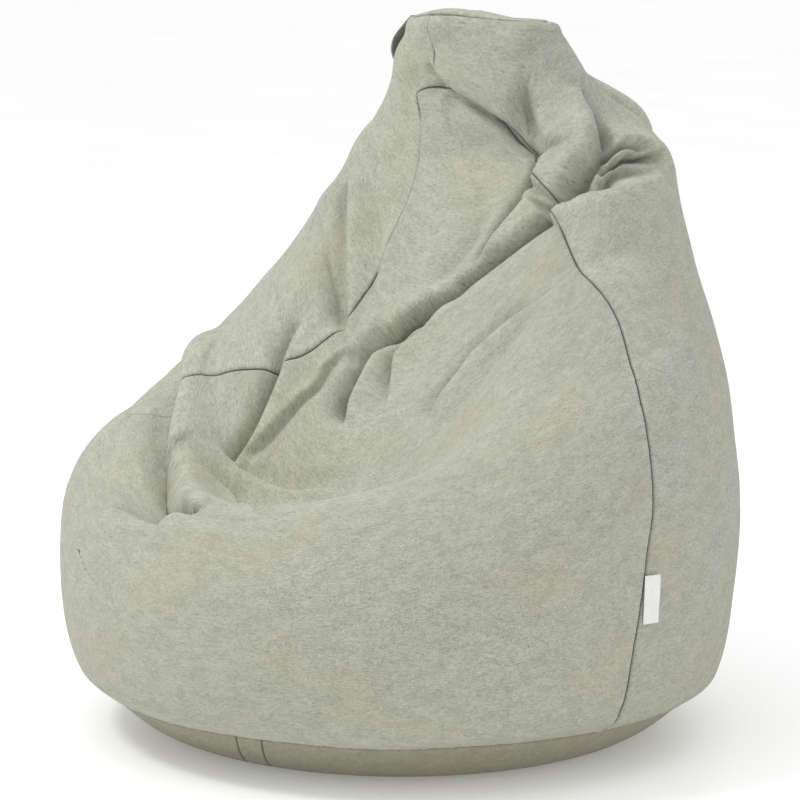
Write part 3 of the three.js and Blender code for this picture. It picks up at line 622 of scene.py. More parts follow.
def wovenCloth(name, looks, warmth=0.0, paintsSeamShade=True):
    made, tree, shader, start = material(name)
    u, v, _ = start.node("ShaderNodeUVMap", uv_map="weave").parts()
    weft = noise(start, u * 150.0, v * 540.0, 1.3, 3.0, 0.65)
    warp = noise(start, u * 620.0, v * 190.0, 7.7, 3.0, 0.6)
    clump = noise(start, u * 34.0, v * 60.0, 3.1, 4.0, 0.65)
    broad = noise(start, u * 5.0, v * 6.5, 5.0, 2.0)
    flecks = noise(start, u * 210.0, v * 480.0, 9.4, 1.0).between(0.66, 0.74)
    n = looks["threads"] * math.pi
    over = (u * n).math("SINE") * (v * n).math("SINE")
    tone = (weft.between(0.36, 0.64) * 0.46 + warp.between(0.36, 0.64) * 0.26
            + clump.between(0.32, 0.68) * 0.28)
    colour = tone.mixed(looks["dark"], looks["light"])
    # The warmth argument spreads the warm colour over the whole cloth; the base's cloth uses it as painted
    # light bounced from the floor.
    colour = (broad.between(0.35, 0.75) * 0.45 + warmth).math("MINIMUM", 1.0).mixed(colour, (
        tone.mixed(tuple(c * 0.74 for c in looks["warm"]), looks["warm"])))
    colour = (flecks * 0.5).mixed(colour, looks["fleck"])
    if paintsSeamShade:
        # painted shade: the cloth is darkened along each seam, standing in for the shadow in its groove
        near = start.node("ShaderNodeAttribute", attribute_name="seamShade", out=2)
        colour = (near * 0.72).mixed(colour, tuple(c * 0.5 for c in looks["fleck"]))
    fine = over * 0.35 + weft * 1.1 + warp * 0.9 + clump * 0.5
    plug(tree, shader, {
        "Base Color": colour, "Specular IOR Level": 0.18, "Sheen Weight": 0.12, "Sheen Roughness": 0.45,
        "Roughness": clump * 0.14 + 0.83,
        "Normal": start.node("ShaderNodeBump", {"Height": fine, "Strength": 0.6, "Distance": 0.0012})})
    return made


def plainWeave(name, light, dark, threads, roughness, sheen=0.0, bumpy=0.4):
    made, tree, shader, start = material(name)
    x, y, z = start.node("ShaderNodeTexCoord", out=3).parts()
    n = threads * 2 * math.pi
    ribs = (y * n).math("SINE") * (x * n + z * n).math("SINE")
    blotch = noise(start, x * 90.0, y * 90.0, z * 90.0, 3.0, 0.6)
    colour = (ribs * 0.22 + blotch.between(0.25, 0.75) * 0.6 + 0.2).mixed(dark, light)
    bump = {"Height": ribs * 0.7 + blotch, "Strength": bumpy, "Distance": 0.0004}
    plug(tree, shader, {
        "Base Color": colour, "Roughness": blotch * 0.15 + (roughness - 0.07), "Sheen Weight": sheen,
        "Specular IOR Level": 0.25, "Normal": start.node("ShaderNodeBump", bump)})
    return made


def zipNickel(name):
    made, tree, shader, start = material(name)
    place = start.node("ShaderNodeTexCoord", out=3)
    mapped = start.node("ShaderNodeMapping", {"Vector": place, "Scale": (400.0, 90.0, 400.0)})
    scratch = start.node("ShaderNodeTexNoise", {"Vector": mapped, "Scale": 2.0, "Detail": 4.0})
    stain = start.node("ShaderNodeTexNoise", {"Vector": place, "Scale": 160.0, "Detail": 3.0})
    colour = stain.between(0.3, 0.7).mixed((0.5, 0.49, 0.47), (0.66, 0.65, 0.62))
    bump = start.node("ShaderNodeBump", {"Height": scratch, "Strength": 0.12, "Distance": 0.0002})
    plug(tree, shader, {"Base Color": colour, "Metallic": 1.0, "Roughness": scratch * 0.25 + 0.2,
                        "Normal": bump})
    return made


def beadFoam(name):
    made, tree, shader, start = material(name)
    place = start.node("ShaderNodeTexCoord", out=3)
    cells = start.node("ShaderNodeTexVoronoi", {"Vector": place, "Scale": 260.0, "Randomness": 1.0})
    # painted shade: each bead's colour darkens towards its rim, where the beads meet
    colour = cells.between(0.1, 0.7).mixed((0.88, 0.88, 0.87), (0.55, 0.55, 0.55))
    bump = start.node("ShaderNodeBump", {"Height": 1.0 - cells, "Strength": 0.8, "Distance": 0.003})
    plug(tree, shader, {"Base Color": colour, "Roughness": cells * 0.2 + 0.6, "Normal": bump})
    return made


coverCloth = wovenCloth("coverCloth", clothLooks)
# painted shade: the base's cloth is the cover's cloth made darker, for the shade low on the bag, and warmer,
# for painted light bounced off the floor
shadedBaseCloth = wovenCloth("shadedBaseCloth", {**clothLooks, "light": (0.38, 0.37, 0.29), "dark": (0.23, 0.225, 0.17),
                                     "warm": (0.36, 0.335, 0.23)}, warmth=0.3)
# painted shade: the strap's cloth is the cover's cloth made darker, for the shade the strap hangs in
shadedStrapCloth = wovenCloth("shadedStrapCloth", {**clothLooks, "light": (0.33, 0.345, 0.29),
                                       "dark": (0.2, 0.21, 0.175)}, paintsSeamShade=False)
linerCloth = plainWeave("linerCloth", (0.78, 0.78, 0.76), (0.62, 0.62, 0.6), 900.0, 0.9)
tapeCloth = plainWeave("tapeCloth", (0.36, 0.38, 0.32), (0.24, 0.25, 0.21), 1300.0, 0.85)
coilPlastic = plainWeave("coilPlastic", (0.42, 0.44, 0.38), (0.34, 0.36, 0.3), 2600.0, 0.42, bumpy=0.1)
threadPaint = plainWeave("threadPaint", (0.5, 0.52, 0.44), (0.34, 0.36, 0.29), 4000.0, 0.8)
labelSatin = plainWeave("labelSatin", (0.86, 0.86, 0.84), (0.76, 0.76, 0.74), 2200.0, 0.5,
                        sheen=0.3, bumpy=0.25)
zipMetal = zipNickel("zipMetal")
beads = beadFoam("beads")
print("materials made")


def finished(obj, paint, body, nodes=()):
    obj.data.materials.clear()
    obj.data.materials.append(paint)
    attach(obj, body)
    if nodes:
        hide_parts(*nodes)
    return obj


def quadMesh(name, places, faces, uv=None, near=None):
    mesh = bpy.data.meshes.new(name)
    mesh.vertices.add(len(places))
    mesh.vertices.foreach_set("co", np.asarray(places, float).ravel())
    mesh.loops.add(faces.size)
    mesh.loops.foreach_set("vertex_index", faces.ravel())
    mesh.polygons.add(len(faces))
    mesh.polygons.foreach_set("loop_start", np.arange(0, faces.size, 4))
    mesh.update(calc_edges=True)
    if uv is not None:
        layer = mesh.uv_layers.new(name="weave")
        layer.data.foreach_set("uv", uv[faces.ravel()].ravel())
    if near is not None:
        layer = mesh.attributes.new("seamShade", "FLOAT", "POINT")
        layer.data.foreach_set("value", near)
    bm = bmesh.new()
    bm.from_mesh(mesh)
    bmesh.ops.remove_doubles(bm, verts=bm.verts, dist=1e-6)
    for face in bm.faces:
        face.smooth = True
    bm.to_mesh(mesh)
    bm.free()
    return placed(name, mesh)


# Closes an object's holes and turns its faces outwards.
def sealed(obj):
    bm = bmesh.new()
    bm.from_mesh(obj.data)
    bmesh.ops.holes_fill(bm, edges=[e for e in bm.edges if e.is_boundary], sides=0)
    bmesh.ops.triangulate(bm, faces=[f for f in bm.faces if len(f.verts) > 4])
    bmesh.ops.recalc_face_normals(bm, faces=bm.faces)
    bm.to_mesh(obj.data)
    bm.free()
    return obj


edgeBack = 0.25 * mm  # how far a cloth's free edge draws back from its seam


# A closed panel of cloth from a net's cells for which keep[column, row] is true.
def panel(name, places, keep, thick, uv=None, near=None):
    ring, rowsHere = places.shape[:2]
    n = gridNormals(places)
    cells = np.argwhere(keep)
    ci, cj = cells[:, 0], cells[:, 1]
    used = np.zeros((ring, rowsHere), bool)
    for di in (0, 1):
        for dj in (0, 1):
            used[(ci + di) % ring, cj + dj] = True
    index = np.argwhere(used)
    owner = np.full((ring, rowsHere), -1)
    owner[used] = np.arange(len(index))
    outer, n = places[used].copy(), n[used]

    def has(i, j):
        inside = (j >= 0) & (j < rowsHere - 1)
        return np.where(inside, keep[i % ring, np.clip(j, 0, rowsHere - 2)], False)

    # free edges draw back from the seam
    i, j = index[:, 0], index[:, 1]
    quads = [has(i - 1, j - 1), has(i, j - 1), has(i - 1, j), has(i, j)]
    right = quads[1].astype(int) + quads[3] - quads[0] - quads[2]
    high = quads[2].astype(int) + quads[3] - quads[0] - quads[1]
    du = places[(i + 1) % ring, j] - places[(i - 1) % ring, j]
    dv = places[i, np.minimum(j + 1, rowsHere - 1)] - places[i, np.maximum(j - 1, 0)]
    pole = (j == 0) | (j == rowsHere - 1)
    edge = ~(quads[0] & quads[1] & quads[2] & quads[3]) & ~pole
    inward = unit(du) * np.sign(right)[:, None] + unit(dv) * np.sign(high)[:, None]
    outer[edge] += inward[edge] * edgeBack
    count = len(outer)
    a, b = owner[ci, cj], owner[(ci + 1) % ring, cj]
    c, d = owner[(ci + 1) % ring, cj + 1], owner[ci, cj + 1]
    faces = [np.stack([a, b, c, d], 1), np.stack([a, d, c, b], 1) + count]
    for (di, dj), (p, q) in [((0, -1), (a, b)), ((1, 0), (b, c)), ((0, 1), (c, d)), ((-1, 0), (d, a))]:
        free = ~has(ci + di, cj + dj)
        if dj:
            free &= (cj + dj >= 0) & (cj + dj <= rowsHere - 2)
        faces.append(np.stack([p[free] + count, q[free] + count, q[free], p[free]], 1))
    twice = (lambda x: None if x is None else np.concatenate([x[used], x[used]]))
    both = np.concatenate([outer, outer - n * thick])
    return quadMesh(name, both, np.concatenate(faces), twice(uv), twice(near))


cellColumn, cellRow = np.meshgrid(np.arange(columnCount), np.arange(rowCount - 1), indexing="ij")
wall = (cellRow >= baseRow) & (cellRow < capRow)
isFront = wall & (cellColumn >= frontStart) & (cellColumn < frontEnd) & (cellRow < archIndex)
isLeft = wall & (cellColumn >= frontMiddle) & ~isFront
isRight = wall & (cellColumn < frontMiddle) & ~isFront
clothThick = 1.4 * mm
plainRing = np.concatenate([plainPlaces, plainPlaces[:1]])
plainAcross = np.cumsum(np.linalg.norm(np.diff(plainRing, axis=0), axis=-1), axis=0)
plainUp = np.linalg.norm(np.diff(plainPlaces, axis=1, prepend=plainPlaces[:, :1]), axis=-1)


# The cloth's grain runs up the middle of each panel, and its weft follows the net's rows.
def grainOf(keep, middle):
    inPanel = np.zeros(rowGrid.shape, bool)
    inPanel[:, :-1] = keep
    climb = (plainUp * inPanel).sum(0) / np.maximum(inPanel.sum(0), 1)
    climb = np.where(climb > 0, climb, plainUp.mean(0))
    return np.stack([plainAcross - plainAcross[middle], np.broadcast_to(np.cumsum(climb), rowGrid.shape)], -1)


leftMiddle, rightMiddle = (frontEnd + columnCount) // 2, frontStart // 2
flatUv = folded[..., :2].copy()
for name, keep, node, uv in [
    ("cover_front", isFront, "front_panel", grainOf(isFront, frontMiddle)),
    ("cover_left_back", isLeft, "left_back_panel", grainOf(isLeft, leftMiddle)),
    ("cover_right_back", isRight, "right_back_panel", grainOf(isRight, rightMiddle)),
    ("cover_cap", cellRow >= capRow, "top_cap", flatUv),
]:
    piece = panel(name, folded, keep, clothThick, uv, seamShade)
    finished(piece, coverCloth, "bag", [node])
print("cover made")

# The base: one bowl, cut beside the zip and along the strips that run on from its ends.
base = {"zipHalf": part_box("zip_end_strip_front")[1][0] + 0.2 * mm,
        "stripFrom": abs(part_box("zip_end_strip_front")[1][1]),
        "drift": 52 * mm, "seamHalf": 20 * mm, "reach": 0.4,
        "beside": (-4.5, -2.2, -1.1, 1.1, 2.2, 4.5), "groove": 1.5 * mm}


def stripShape(y):
    share = np.clip((-y - base["stripFrom"]) / (base["reach"] - base["stripFrom"]), 0, 1.3)
    return base["drift"] * share ** 2.2, base["zipHalf"] + (base["seamHalf"] - base["zipHalf"]) * share


def basePiece(name, cuts):
    bowl = panel(name, folded, cellRow < baseRow, clothThick, flatUv, seamShade)
    bm = bmesh.new()
    bm.from_mesh(bowl.data)
    for vert in bm.verts:
        drift, half = stripShape(vert.co.y)
        vert.co.x = (vert.co.x - drift) / half
    for side in (-1, 1):
        for away in base["beside"]:
            bmesh.ops.bisect_plane(bm, geom=bm.verts[:] + bm.edges[:] + bm.faces[:], dist=1e-7,
                                   plane_co=(side + away * mm / base["seamHalf"], 0, 0), plane_no=(1, 0, 0))
    for place, way in cuts:
        bmesh.ops.bisect_plane(bm, geom=bm.verts[:] + bm.edges[:] + bm.faces[:], plane_co=place, plane_no=way,
                               clear_outer=True, dist=1e-7)
        bmesh.ops.holes_fill(bm, edges=[e for e in bm.edges if e.is_boundary], sides=0)
    bmesh.ops.triangulate(bm, faces=[f for f in bm.faces if len(f.verts) > 4])
    layer = bm.loops.layers.uv["weave"]
    near = bm.verts.layers.float["seamShade"]
    away = {}
    for vert in bm.verts:
        drift, half = stripShape(vert.co.y)
        away[vert] = abs(abs(vert.co.x) - 1) * half
        vert.co.x = vert.co.x * half + drift
    bm.normal_update()
    for vert, d in away.items():
        if abs(vert.co.y) > base["stripFrom"] + 2 * mm:
            # painted shade: the strips' seam lines are darkened through the seam mask too, for the shadow in
            # their grooves
            vert[near] = max(vert[near], math.exp(-(d / (1.3 * mm)) ** 2))
            dip = base["groove"] * math.exp(-(d / (1.8 * mm)) ** 2) * min(1, max(0, vert.co.z) / (8 * mm))
            if vert.co.z > 0:
                vert.co.z += dip
    for face in bm.faces:
        face.smooth = True
        for loop in face.loops:
            loop[layer].uv = loop.vert.co.xy
    bm.to_mesh(bowl.data)
    bm.free()
    return bowl


edgeGap = edgeBack / base["zipHalf"]
stripEnd = base["stripFrom"]
stripCuts = [((1 - edgeGap, 0, 0), (1, 0, 0)), ((edgeGap - 1, 0, 0), (-1, 0, 0))]
for name, node, cuts in [
    ("base_left", "base_left_panel", [((1 + edgeGap, 0, 0), (-1, 0, 0))]),
    ("base_right", "base_right_panel", [((-1 - edgeGap, 0, 0), (1, 0, 0))]),
    ("strip_front", "zip_end_strip_front", stripCuts + [((0, -stripEnd, 0), (0, 1, 0))]),
    ("strip_back", "zip_end_strip_back", stripCuts + [((0, stripEnd, 0), (0, -1, 0))]),
]:
    finished(basePiece(name, cuts), shadedBaseCloth, "bag", [node])
print("base made")

# The liner and the filling lie under the deepest folds near them.
inside = {"step": 4, "window": 9, "linerDepth": 10.0, "linerThick": 1.0, "fillDepth": 14.0, "fillFloor": 14.0}
drop = ((folded - plainPlaces) * plainNormals).sum(-1)
for _ in range(inside["window"] * 2):
    pad = np.concatenate([drop[-1:], drop, drop[:1]])
    drop = np.minimum(np.minimum(pad[:-2], pad[1:-1]), pad[2:])
    pad = np.concatenate([drop[:, :1], drop, drop[:, -1:]], axis=1)
    drop = np.minimum(np.minimum(pad[:, :-2], pad[:, 1:-1]), pad[:, 2:])
drop = np.minimum(blurred(drop, 12), 0)
pickColumn = np.arange(0, columnCount, inside["step"])
pickRow = np.unique(np.concatenate([[0, floorRow, capRow, rowCount - 1],
                                    np.arange(floorRow, rowCount, inside["step"])]))
corner = np.ix_(pickColumn, pickRow)
innerDrop = (drop[corner] - inside["linerDepth"] * mm)[..., None]
floorShare = smooth((rowGrid[corner] - 1) / 0.8)[..., None]
linerNet = plainPlaces[corner] + plainNormals[corner] * (innerDrop * floorShare - 2.2 * mm * (1 - floorShare))
linerRow = {int(r): k for k, r in enumerate(pickRow)}
linerColumns, linerRows = np.meshgrid(np.arange(len(pickColumn)), np.arange(len(pickRow) - 1), indexing="ij")
middleColumn = int(np.searchsorted(pickColumn, frontMiddle))
sides = (linerRows >= linerRow[floorRow]) & (linerRows < linerRow[capRow])
for name, keep, node in [
    ("liner_left", sides & (linerColumns >= middleColumn), "liner_left_panel"),
    ("liner_right", sides & (linerColumns < middleColumn), "liner_right_panel"),
    ("liner_top", linerRows >= linerRow[capRow], "liner_cap"),
]:
    piece = panel(name, linerNet, keep, inside["linerThick"] * mm)
    finished(piece, linerCloth, "bag", [node])

fillNet = linerNet - gridNormals(linerNet) * ((inside["fillDepth"] - inside["linerDepth"]) * mm)
fillNet[..., 2] = np.maximum(fillNet[..., 2], inside["fillFloor"] * mm)
filling = quadMesh("filling", fillNet.reshape(-1, 3), ringFaces(*fillNet.shape[:2]))
finished(filling, beads, "bag", ["bead_filling"])
print("liner and filling made")


# Geometry Nodes trees. Both end in Realize Instances and Set Material.
def newTree(name, inputs):
    tree = bpy.data.node_groups.new(name, "GeometryNodeTree")
    tree.interface.new_socket("Geometry", in_out="INPUT", socket_type="NodeSocketGeometry")
    for label, kind, value in inputs:
        socket = tree.interface.new_socket(label, in_out="INPUT", socket_type=kind)
        if value is not None:
            socket.default_value = value
    tree.interface.new_socket("Geometry", in_out="OUTPUT", socket_type="NodeSocketGeometry")
    return tree, tree.nodes.new("NodeGroupInput"), tree.nodes.new("NodeGroupOutput")


def endTree(tree, start, end, geometry):
    real = tree.nodes.new("GeometryNodeRealizeInstances")
    paint = tree.nodes.new("GeometryNodeSetMaterial")
    tree.links.new(geometry, real.inputs[0])
    tree.links.new(real.outputs[0], paint.inputs["Geometry"])
    tree.links.new(start.outputs["Material"], paint.inputs["Material"])
    tree.links.new(paint.outputs[0], end.inputs[0])
    return tree


def rowTree():
    tree, start, end = newTree("toothRow", [("Count", "NodeSocketInt", 10),
                                            ("Step", "NodeSocketVector", None),
                                            ("Material", "NodeSocketMaterial", None)])
    line = tree.nodes.new("GeometryNodeMeshLine")
    tree.links.new(start.outputs["Count"], line.inputs["Count"])
    tree.links.new(start.outputs["Step"], line.inputs["Offset"])
    put = tree.nodes.new("GeometryNodeInstanceOnPoints")
    tree.links.new(line.outputs[0], put.inputs["Points"])
    tree.links.new(start.outputs["Geometry"], put.inputs["Instance"])
    return endTree(tree, start, end, put.outputs[0])


def stitchTree():
    tree, start, end = newTree("stitchRow", [("Pitch", "NodeSocketFloat", 0.004),
                                             ("Size", "NodeSocketVector", None),
                                             ("Material", "NodeSocketMaterial", None)])
    curve = tree.nodes.new("GeometryNodeMeshToCurve")
    tree.links.new(start.outputs["Geometry"], curve.inputs["Mesh"])
    spread = tree.nodes.new("GeometryNodeResampleCurve")
    spread.mode = "LENGTH"
    tree.links.new(curve.outputs[0], spread.inputs["Curve"])
    tree.links.new(start.outputs["Pitch"], spread.inputs["Length"])
    points = tree.nodes.new("GeometryNodeCurveToPoints")
    points.mode = "EVALUATED"
    tree.links.new(spread.outputs[0], points.inputs["Curve"])
    aim = tree.nodes.new("FunctionNodeAlignEulerToVector")
    aim.axis = "X"
    tree.links.new(points.outputs["Tangent"], aim.inputs["Vector"])
    ball = tree.nodes.new("GeometryNodeMeshUVSphere")
    ball.inputs["Segments"].default_value = 8
    ball.inputs["Rings"].default_value = 6
    ball.inputs["Radius"].default_value = 0.5
    put = tree.nodes.new("GeometryNodeInstanceOnPoints")
    tree.links.new(points.outputs["Points"], put.inputs["Points"])
    tree.links.new(ball.outputs[0], put.inputs["Instance"])
    tree.links.new(aim.outputs[0], put.inputs["Rotation"])
    tree.links.new(start.outputs["Size"], put.inputs["Scale"])
    return endTree(tree, start, end, put.outputs[0])


def grown(obj, tree, values):
    modifier = obj.modifiers.new("grow", "NODES")
    modifier.node_group = tree
    for item in tree.interface.items_tree:
        if item.in_out == "INPUT" and item.name in values:
            modifier[item.identifier] = values[item.name]
    done = obj.evaluated_get(bpy.context.evaluated_depsgraph_get())
    mesh = bpy.data.meshes.new_from_object(done)
    obj.modifiers.remove(modifier)
    obj.data = mesh
    for face in mesh.polygons:
        face.use_smooth = True
    return obj


rowMaker, stitchMaker = rowTree(), stitchTree()

# The zip's coils: one bent loop, repeated along each row.
zipper = {"pitch": 1.9 * mm, "wire": 0.36 * mm, "sides": 6}


def coil(name, node, sign):
    (x0, y0, z0), (x1, y1, z1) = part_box(node)
    inner, outer = (x0, x1) if sign > 0 else (x1, x0)
    middle = (z0 + z1) / 2
    reach = (z1 - z0) / 2 - zipper["wire"]
    share = np.linspace(0, 1, 15)
    turn = np.pi * (share - 0.5)
    bend = np.abs(2 * share - 1) ** 1.6
    x = inner + sign * zipper["wire"] + (outer - inner - 2 * sign * zipper["wire"]) * bend
    z = middle + reach * np.sin(turn)
    y = y0 + zipper["wire"] + zipper["pitch"] * 0.42 * share
    path = np.stack([x, y, z], 1)
    along = unit(np.gradient(path, axis=0))
    side = unit(np.cross(along, np.array([0, 1.0, 0.0])))
    up = np.cross(side, along)
    spin = np.linspace(0, 2 * math.pi, zipper["sides"], endpoint=False)
    around = (side[:, None] * np.cos(spin)[None, :, None]
              + up[:, None] * np.sin(spin)[None, :, None])
    rings = path[:, None] + around * zipper["wire"]
    rings = np.concatenate([path[:1, None].repeat(zipper["sides"], 1), rings,
                            path[-1:, None].repeat(zipper["sides"], 1)])
    loop = sealed(quadMesh(name, rings.reshape(-1, 3), tubeFaces(*rings.shape[:2])))
    count = int((y1 - y0 - 1.2 * zipper["pitch"]) / zipper["pitch"])
    return grown(loop, rowMaker, {"Count": count, "Step": (0.0, zipper["pitch"], 0.0),
                                  "Material": coilPlastic})


for name, node, sign in (("coil_left", "zip_coil_left", 1), ("coil_right", "zip_coil_right", -1)):
    finished(coil(name, node, sign), coilPlastic, "bag", [node])


# A copy of a metal node with its corners eased.
def eased(name, node, width):
    obj = placed(name, frame["nodes"][node].data.copy())
    bm = bmesh.new()
    bm.from_mesh(obj.data)
    bmesh.ops.remove_doubles(bm, verts=bm.verts, dist=1e-6)
    bmesh.ops.dissolve_limit(bm, angle_limit=0.02, verts=bm.verts, edges=bm.edges)
    sharp = [e for e in bm.edges if len(e.link_faces) == 2 and e.calc_face_angle(0) > 0.5]
    bmesh.ops.bevel(bm, geom=sharp, offset=width, segments=2, profile=0.6, affect="EDGES", clamp_overlap=True)
    bmesh.ops.triangulate(bm, faces=[f for f in bm.faces if len(f.verts) > 4])
    for face in bm.faces:
        face.smooth = False
    bm.to_mesh(obj.data)
    bm.free()
    return obj


for name, node, body, width in [
    ("slider_piece", "zip_slider", "slider", 0.22), ("puller_piece", "zip_puller", "puller", 0.2),
    ("stop_front", "zip_stop_front", "bag", 0.35), ("stop_back", "zip_stop_back", "bag", 0.35),
]:
    finished(eased(name, node, width * mm), zipMetal, body, [node])


# Rows of stitches along lines of points.
def stitches(name, lines, pitch, size, body, paint=threadPaint):
    places, edges = [], []
    for line in lines:
        first = len(places)
        places += [tuple(p) for p in line]
        edges += [(first + k, first + k + 1) for k in range(len(line) - 1)]
    mesh = bpy.data.meshes.new(name)
    mesh.from_pydata(places, edges, [])
    obj = grown(placed(name, mesh), stitchMaker, {"Pitch": pitch, "Size": size, "Material": paint})
    return finished(obj, paint, body)


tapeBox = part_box("zip_tape_left")
zipLines = [[(side * (base["zipHalf"] + away * mm), y, -0.05 * mm)
             for y in np.linspace(tapeBox[0][1], tapeBox[1][1], 3)]
            for side in (-1, 1) for away in (1.8, 6.2)]
stitches("zip_stitches", zipLines, 3.4 * mm, (2.5 * mm, 0.55 * mm, 0.4 * mm), "bag")
print("zip made")

# The carry handle: a strap folded into a loop that hangs from the cap's seam.
strap = {"wide": 30.0, "thick": 2.4, "drop": 66.0, "opening": 20.0, "lean": 0.3205, "steps": 96}


# One round of mixing on the way to a curve through points: each pair over a span of knots.
def mixedPairs(p, u, t, span):
    return [(u[m + span] - t) / (u[m + span] - u[m]) * p[m]
            + (t - u[m]) / (u[m + span] - u[m]) * p[m + 1] for m in range(len(p) - 1)]


def strapPath():
    half = strap["thick"] / 2
    outerRun = -half - strap["thick"] - strap["opening"]
    root = -half - strap["thick"] - 1
    points = [(-half, 0), (-half, 0.3), (-half - 0.5, 0.6), (-half - 3, 0.86), ((-half + outerRun) / 2, 1),
              (outerRun + 3, 0.86), (outerRun + 1, 0.6), ((outerRun + root) / 2, 0.28), (root, 0)]
    flat = np.array([(x, -d * strap["drop"]) for x, d in points])
    ends = np.vstack([2 * flat[0] - flat[1], flat, 2 * flat[-1] - flat[-2]])
    knots = np.concatenate([[0], np.cumsum(np.linalg.norm(np.diff(ends, axis=0), axis=1) ** 0.5)])
    out = []
    share = np.linspace(0, len(flat) - 1, strap["steps"])
    for s in share:
        k = min(int(s), len(flat) - 2)
        t = knots[k + 1] + (s - k) * (knots[k + 2] - knots[k + 1])
        p, u = ends[k:k + 4], knots[k:k + 4]
        pairs = mixedPairs(mixedPairs(p, u, t, 1), u, t, 2)
        out.append(mixedPairs(pairs, u[1:], t, 1)[0])
    return np.array(out)


flat = strapPath()
along = unit(np.gradient(flat, axis=0))
outward = np.stack([along[:, 1], -along[:, 0]], 1)
rootPlace = np.array(handleJoint["pos_m"])
cosLean, sinLean = math.cos(strap["lean"]), math.sin(strap["lean"])


def strapPlace(p, y):
    x, z = p[..., 0] * mm, p[..., 1] * mm
    return np.stack([rootPlace[0] + x * cosLean + z * sinLean, np.full(x.shape, rootPlace[1] + y * mm),
                     rootPlace[2] - x * sinLean + z * cosLean], -1)


half, thick = strap["wide"] / 2, strap["thick"] / 2
section = [(-half + 0.9 * (1 - math.cos(a)), thick * math.sin(a)) for a in np.linspace(-1.57, 1.57, 7)]
crown = [(y, thick * (1 - 0.16 * math.exp(-((abs(y) - half + 3) / 0.7) ** 2)))
         for y in np.linspace(-half + 2, half - 2, 27)]
section = section + crown + [(-y, -z) for y, z in section] + [(-y, -z) for y, z in crown]
rings = np.stack([strapPlace(flat + outward * z, y) for y, z in section], axis=1)
faces = tubeFaces(*rings.shape[:2])[:, [0, 3, 2, 1]]
runLength = np.concatenate([[0], np.cumsum(np.linalg.norm(np.diff(flat, axis=0), axis=1))]) * mm
runAcross = np.array([y for y, z in section])[None] * mm
strapUv = np.stack(np.broadcast_arrays(runAcross, runLength[:, None]), -1).reshape(-1, 2)
handle = sealed(quadMesh("handle_strap", rings.reshape(-1, 3), faces, strapUv))
finished(handle, shadedStrapCloth, "handle", ["carry_handle"])
rowsOfThread = [strapPlace(flat[2:-2] + outward[2:-2] * side * (thick * 0.86), y)
                for side in (-1, 1) for y in (-half + 3, half - 3)]
stitches("handle_stitches", rowsOfThread, 3.6 * mm, (2.7 * mm, 0.5 * mm, 0.42 * mm), "handle")
print("handle made")

# The side label: blank, folded at its free edge and sewn in at the other.
label = {"flare": 1.6, "plySteps": 22, "foldSteps": 7, "heightSteps": 33}
corners = np.array([v.co for v in frame["nodes"]["side_label"].data.vertices])
labelMiddle = (corners.min(0) + corners.max(0)) / 2
_, _, axes = np.linalg.svd(np.unique(corners.round(6), axis=0) - labelMiddle, full_matrices=False)
upAxis = axes[0] * np.sign(axes[0][2])
outAxis = axes[2] * np.sign(axes[2][0])
backAxis = np.cross(upAxis, outAxis)
sizes = [np.ptp((corners - labelMiddle) @ a) for a in (backAxis, upAxis, outAxis)]
ply = np.linspace(0, 1, label["plySteps"])
foldTurn = np.linspace(0, math.pi, label["foldSteps"])[1:-1]
acrossShare = np.concatenate([ply, np.ones(len(foldTurn)), np.linspace(1, 0, label["plySteps"])])
level = np.concatenate([np.ones(len(ply)), np.cos(foldTurn), -np.ones(len(ply))])
bulgeOut = np.concatenate([np.zeros(len(ply)), np.sin(foldTurn), np.zeros(len(ply))])
upShare = np.linspace(-0.5, 0.5, label["heightSteps"])
tip = sizes[2] / 2
sag = label["flare"] * mm * acrossShare ** 1.6
wave = 0.35 * mm * np.sin(upShare[:, None] * 7.0 + 0.6) * acrossShare[None] ** 2
b = (acrossShare - 0.5) * (sizes[0] - 2 * tip) + bulgeOut * tip * 0.9
thin = tip * (1 - 0.35 * (1 - acrossShare))
o = level * thin + sag
labelNet = (labelMiddle + b[None, :, None] * backAxis + (o[None] + wave)[..., None] * outAxis
            + (upShare * sizes[1])[:, None, None] * upAxis)
sideLabel = sealed(quadMesh("label_tab", labelNet.reshape(-1, 3), tubeFaces(*labelNet.shape[:2])))
finished(sideLabel, labelSatin, "label", ["side_label"])
inset = 2.2 * mm - sizes[0] / 2
stitchLine = [labelMiddle + backAxis * inset + outAxis * (tip * 0.72) + upAxis * y
              for y in np.linspace(-0.46, 0.46, 9) * sizes[1]]
stitches("label_stitches", [stitchLine], 2.6 * mm, (2.0 * mm, 0.4 * mm, 0.3 * mm),
         "label", labelSatin)
print("label made")

# CAD nodes that stay get cloth of their own.
for node, paint in [("liner_base", linerCloth), ("liner_closure_tape", tapeCloth), ("zip_tape_left", tapeCloth),
                    ("zip_tape_right", tapeCloth)]:
    for item in frame["nodes"][node].material_slots:
        item.material = paint

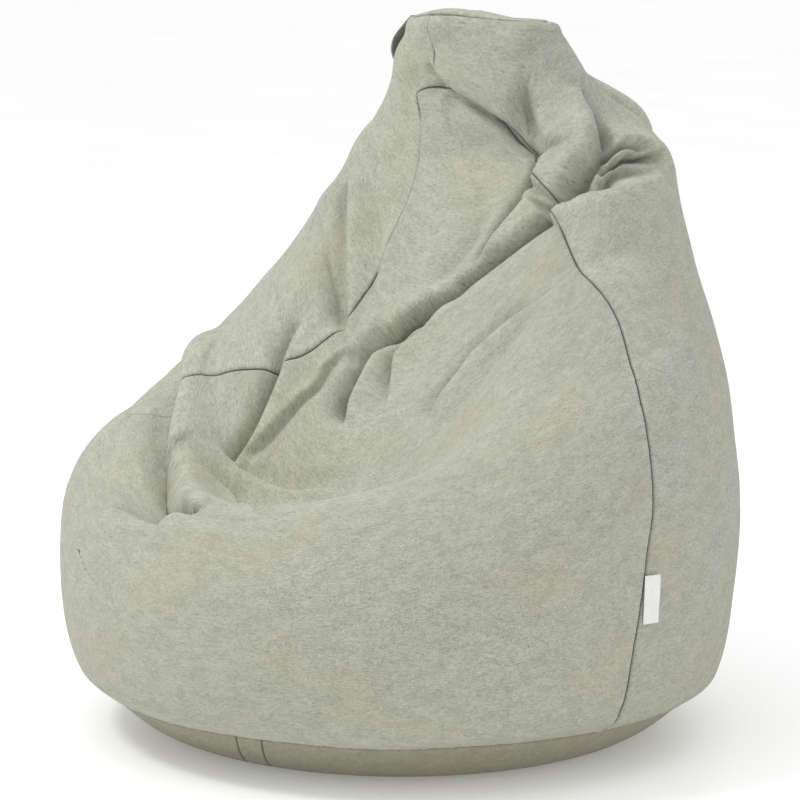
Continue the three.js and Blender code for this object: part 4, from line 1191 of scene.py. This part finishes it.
# The floor, the lights and the camera.
view = {"azimuth": 35.0, "elevation": 9.0, "distance": 4.2, "aim": (0.0, 0.0, 0.45), "sensor": 36.0,
        "width": 1.0744, "shift": (0.0025, -0.0125)}
floorMesh = bpy.data.meshes.new("floor")
floorMesh.from_pydata([(-60, -60, 0), (60, -60, 0), (60, 60, 0), (-60, 60, 0)], [], [(0, 1, 2, 3)])
floor = placed("floor", floorMesh)
floorPaint, tree, shader, start = material("floorPaint")
place = start.node("ShaderNodeTexCoord", out=3)
cloud = start.node("ShaderNodeTexNoise", {"Vector": place, "Scale": 1.5, "Detail": 2.0})
plug(tree, shader, {
    "Base Color": cloud.between(0.2, 0.8).mixed((0.89, 0.89, 0.885), (0.91, 0.91, 0.905)),
    "Roughness": cloud * 0.06 + 0.3, "Specular IOR Level": 0.3,
    "Emission Color": (1, 1, 0.99, 1), "Emission Strength": 0.2})
floorMesh.materials.append(floorPaint)

world = bpy.data.worlds.new("studio")
scene.world = world
world.use_nodes = True
tree = world.node_tree
climb = Wire(tree, None).node("ShaderNodeTexCoord", out=0).parts()[2]
glow = climb.between(0.0, 0.8).mixed((0.36, 0.36, 0.36), (1.16, 1.16, 1.18))
plug(tree, tree.nodes["Background"], {"Color": glow, "Strength": 1.0})


def softLight(name, place, aim, size, power, colour):
    light = bpy.data.lights.new(name, "AREA")
    light.shape = "RECTANGLE"
    light.size, light.size_y = size
    light.energy = power
    light.color = colour
    obj = placed(name, light)
    obj.location = place
    obj.rotation_euler = (Vector(aim) - Vector(place)).to_track_quat("-Z", "Y").to_euler()


softLight("key", (-1.6, -1.9, 3.7), (0, 0, 0.5), (0.9, 0.9), 62, (1.0, 0.995, 0.98))
softLight("side", (3.2, -0.6, 1.7), (0, 0, 0.5), (1.4, 1.4), 6, (1.0, 1.0, 0.97))

camera = placed("camera", bpy.data.cameras.new("camera"))
a, e = math.radians(view["azimuth"]), math.radians(view["elevation"])
backward = Vector((math.sin(a) * math.cos(e), -math.cos(a) * math.cos(e), math.sin(e)))
camera.location = Vector(view["aim"]) + backward * view["distance"]
camera.rotation_euler = backward.to_track_quat("Z", "Y").to_euler()
camera.data.sensor_width = view["sensor"]
camera.data.lens = view["sensor"] * view["distance"] / view["width"]
camera.data.shift_x, camera.data.shift_y = view["shift"]
scene.camera = camera
scene.view_settings.view_transform = "Standard"
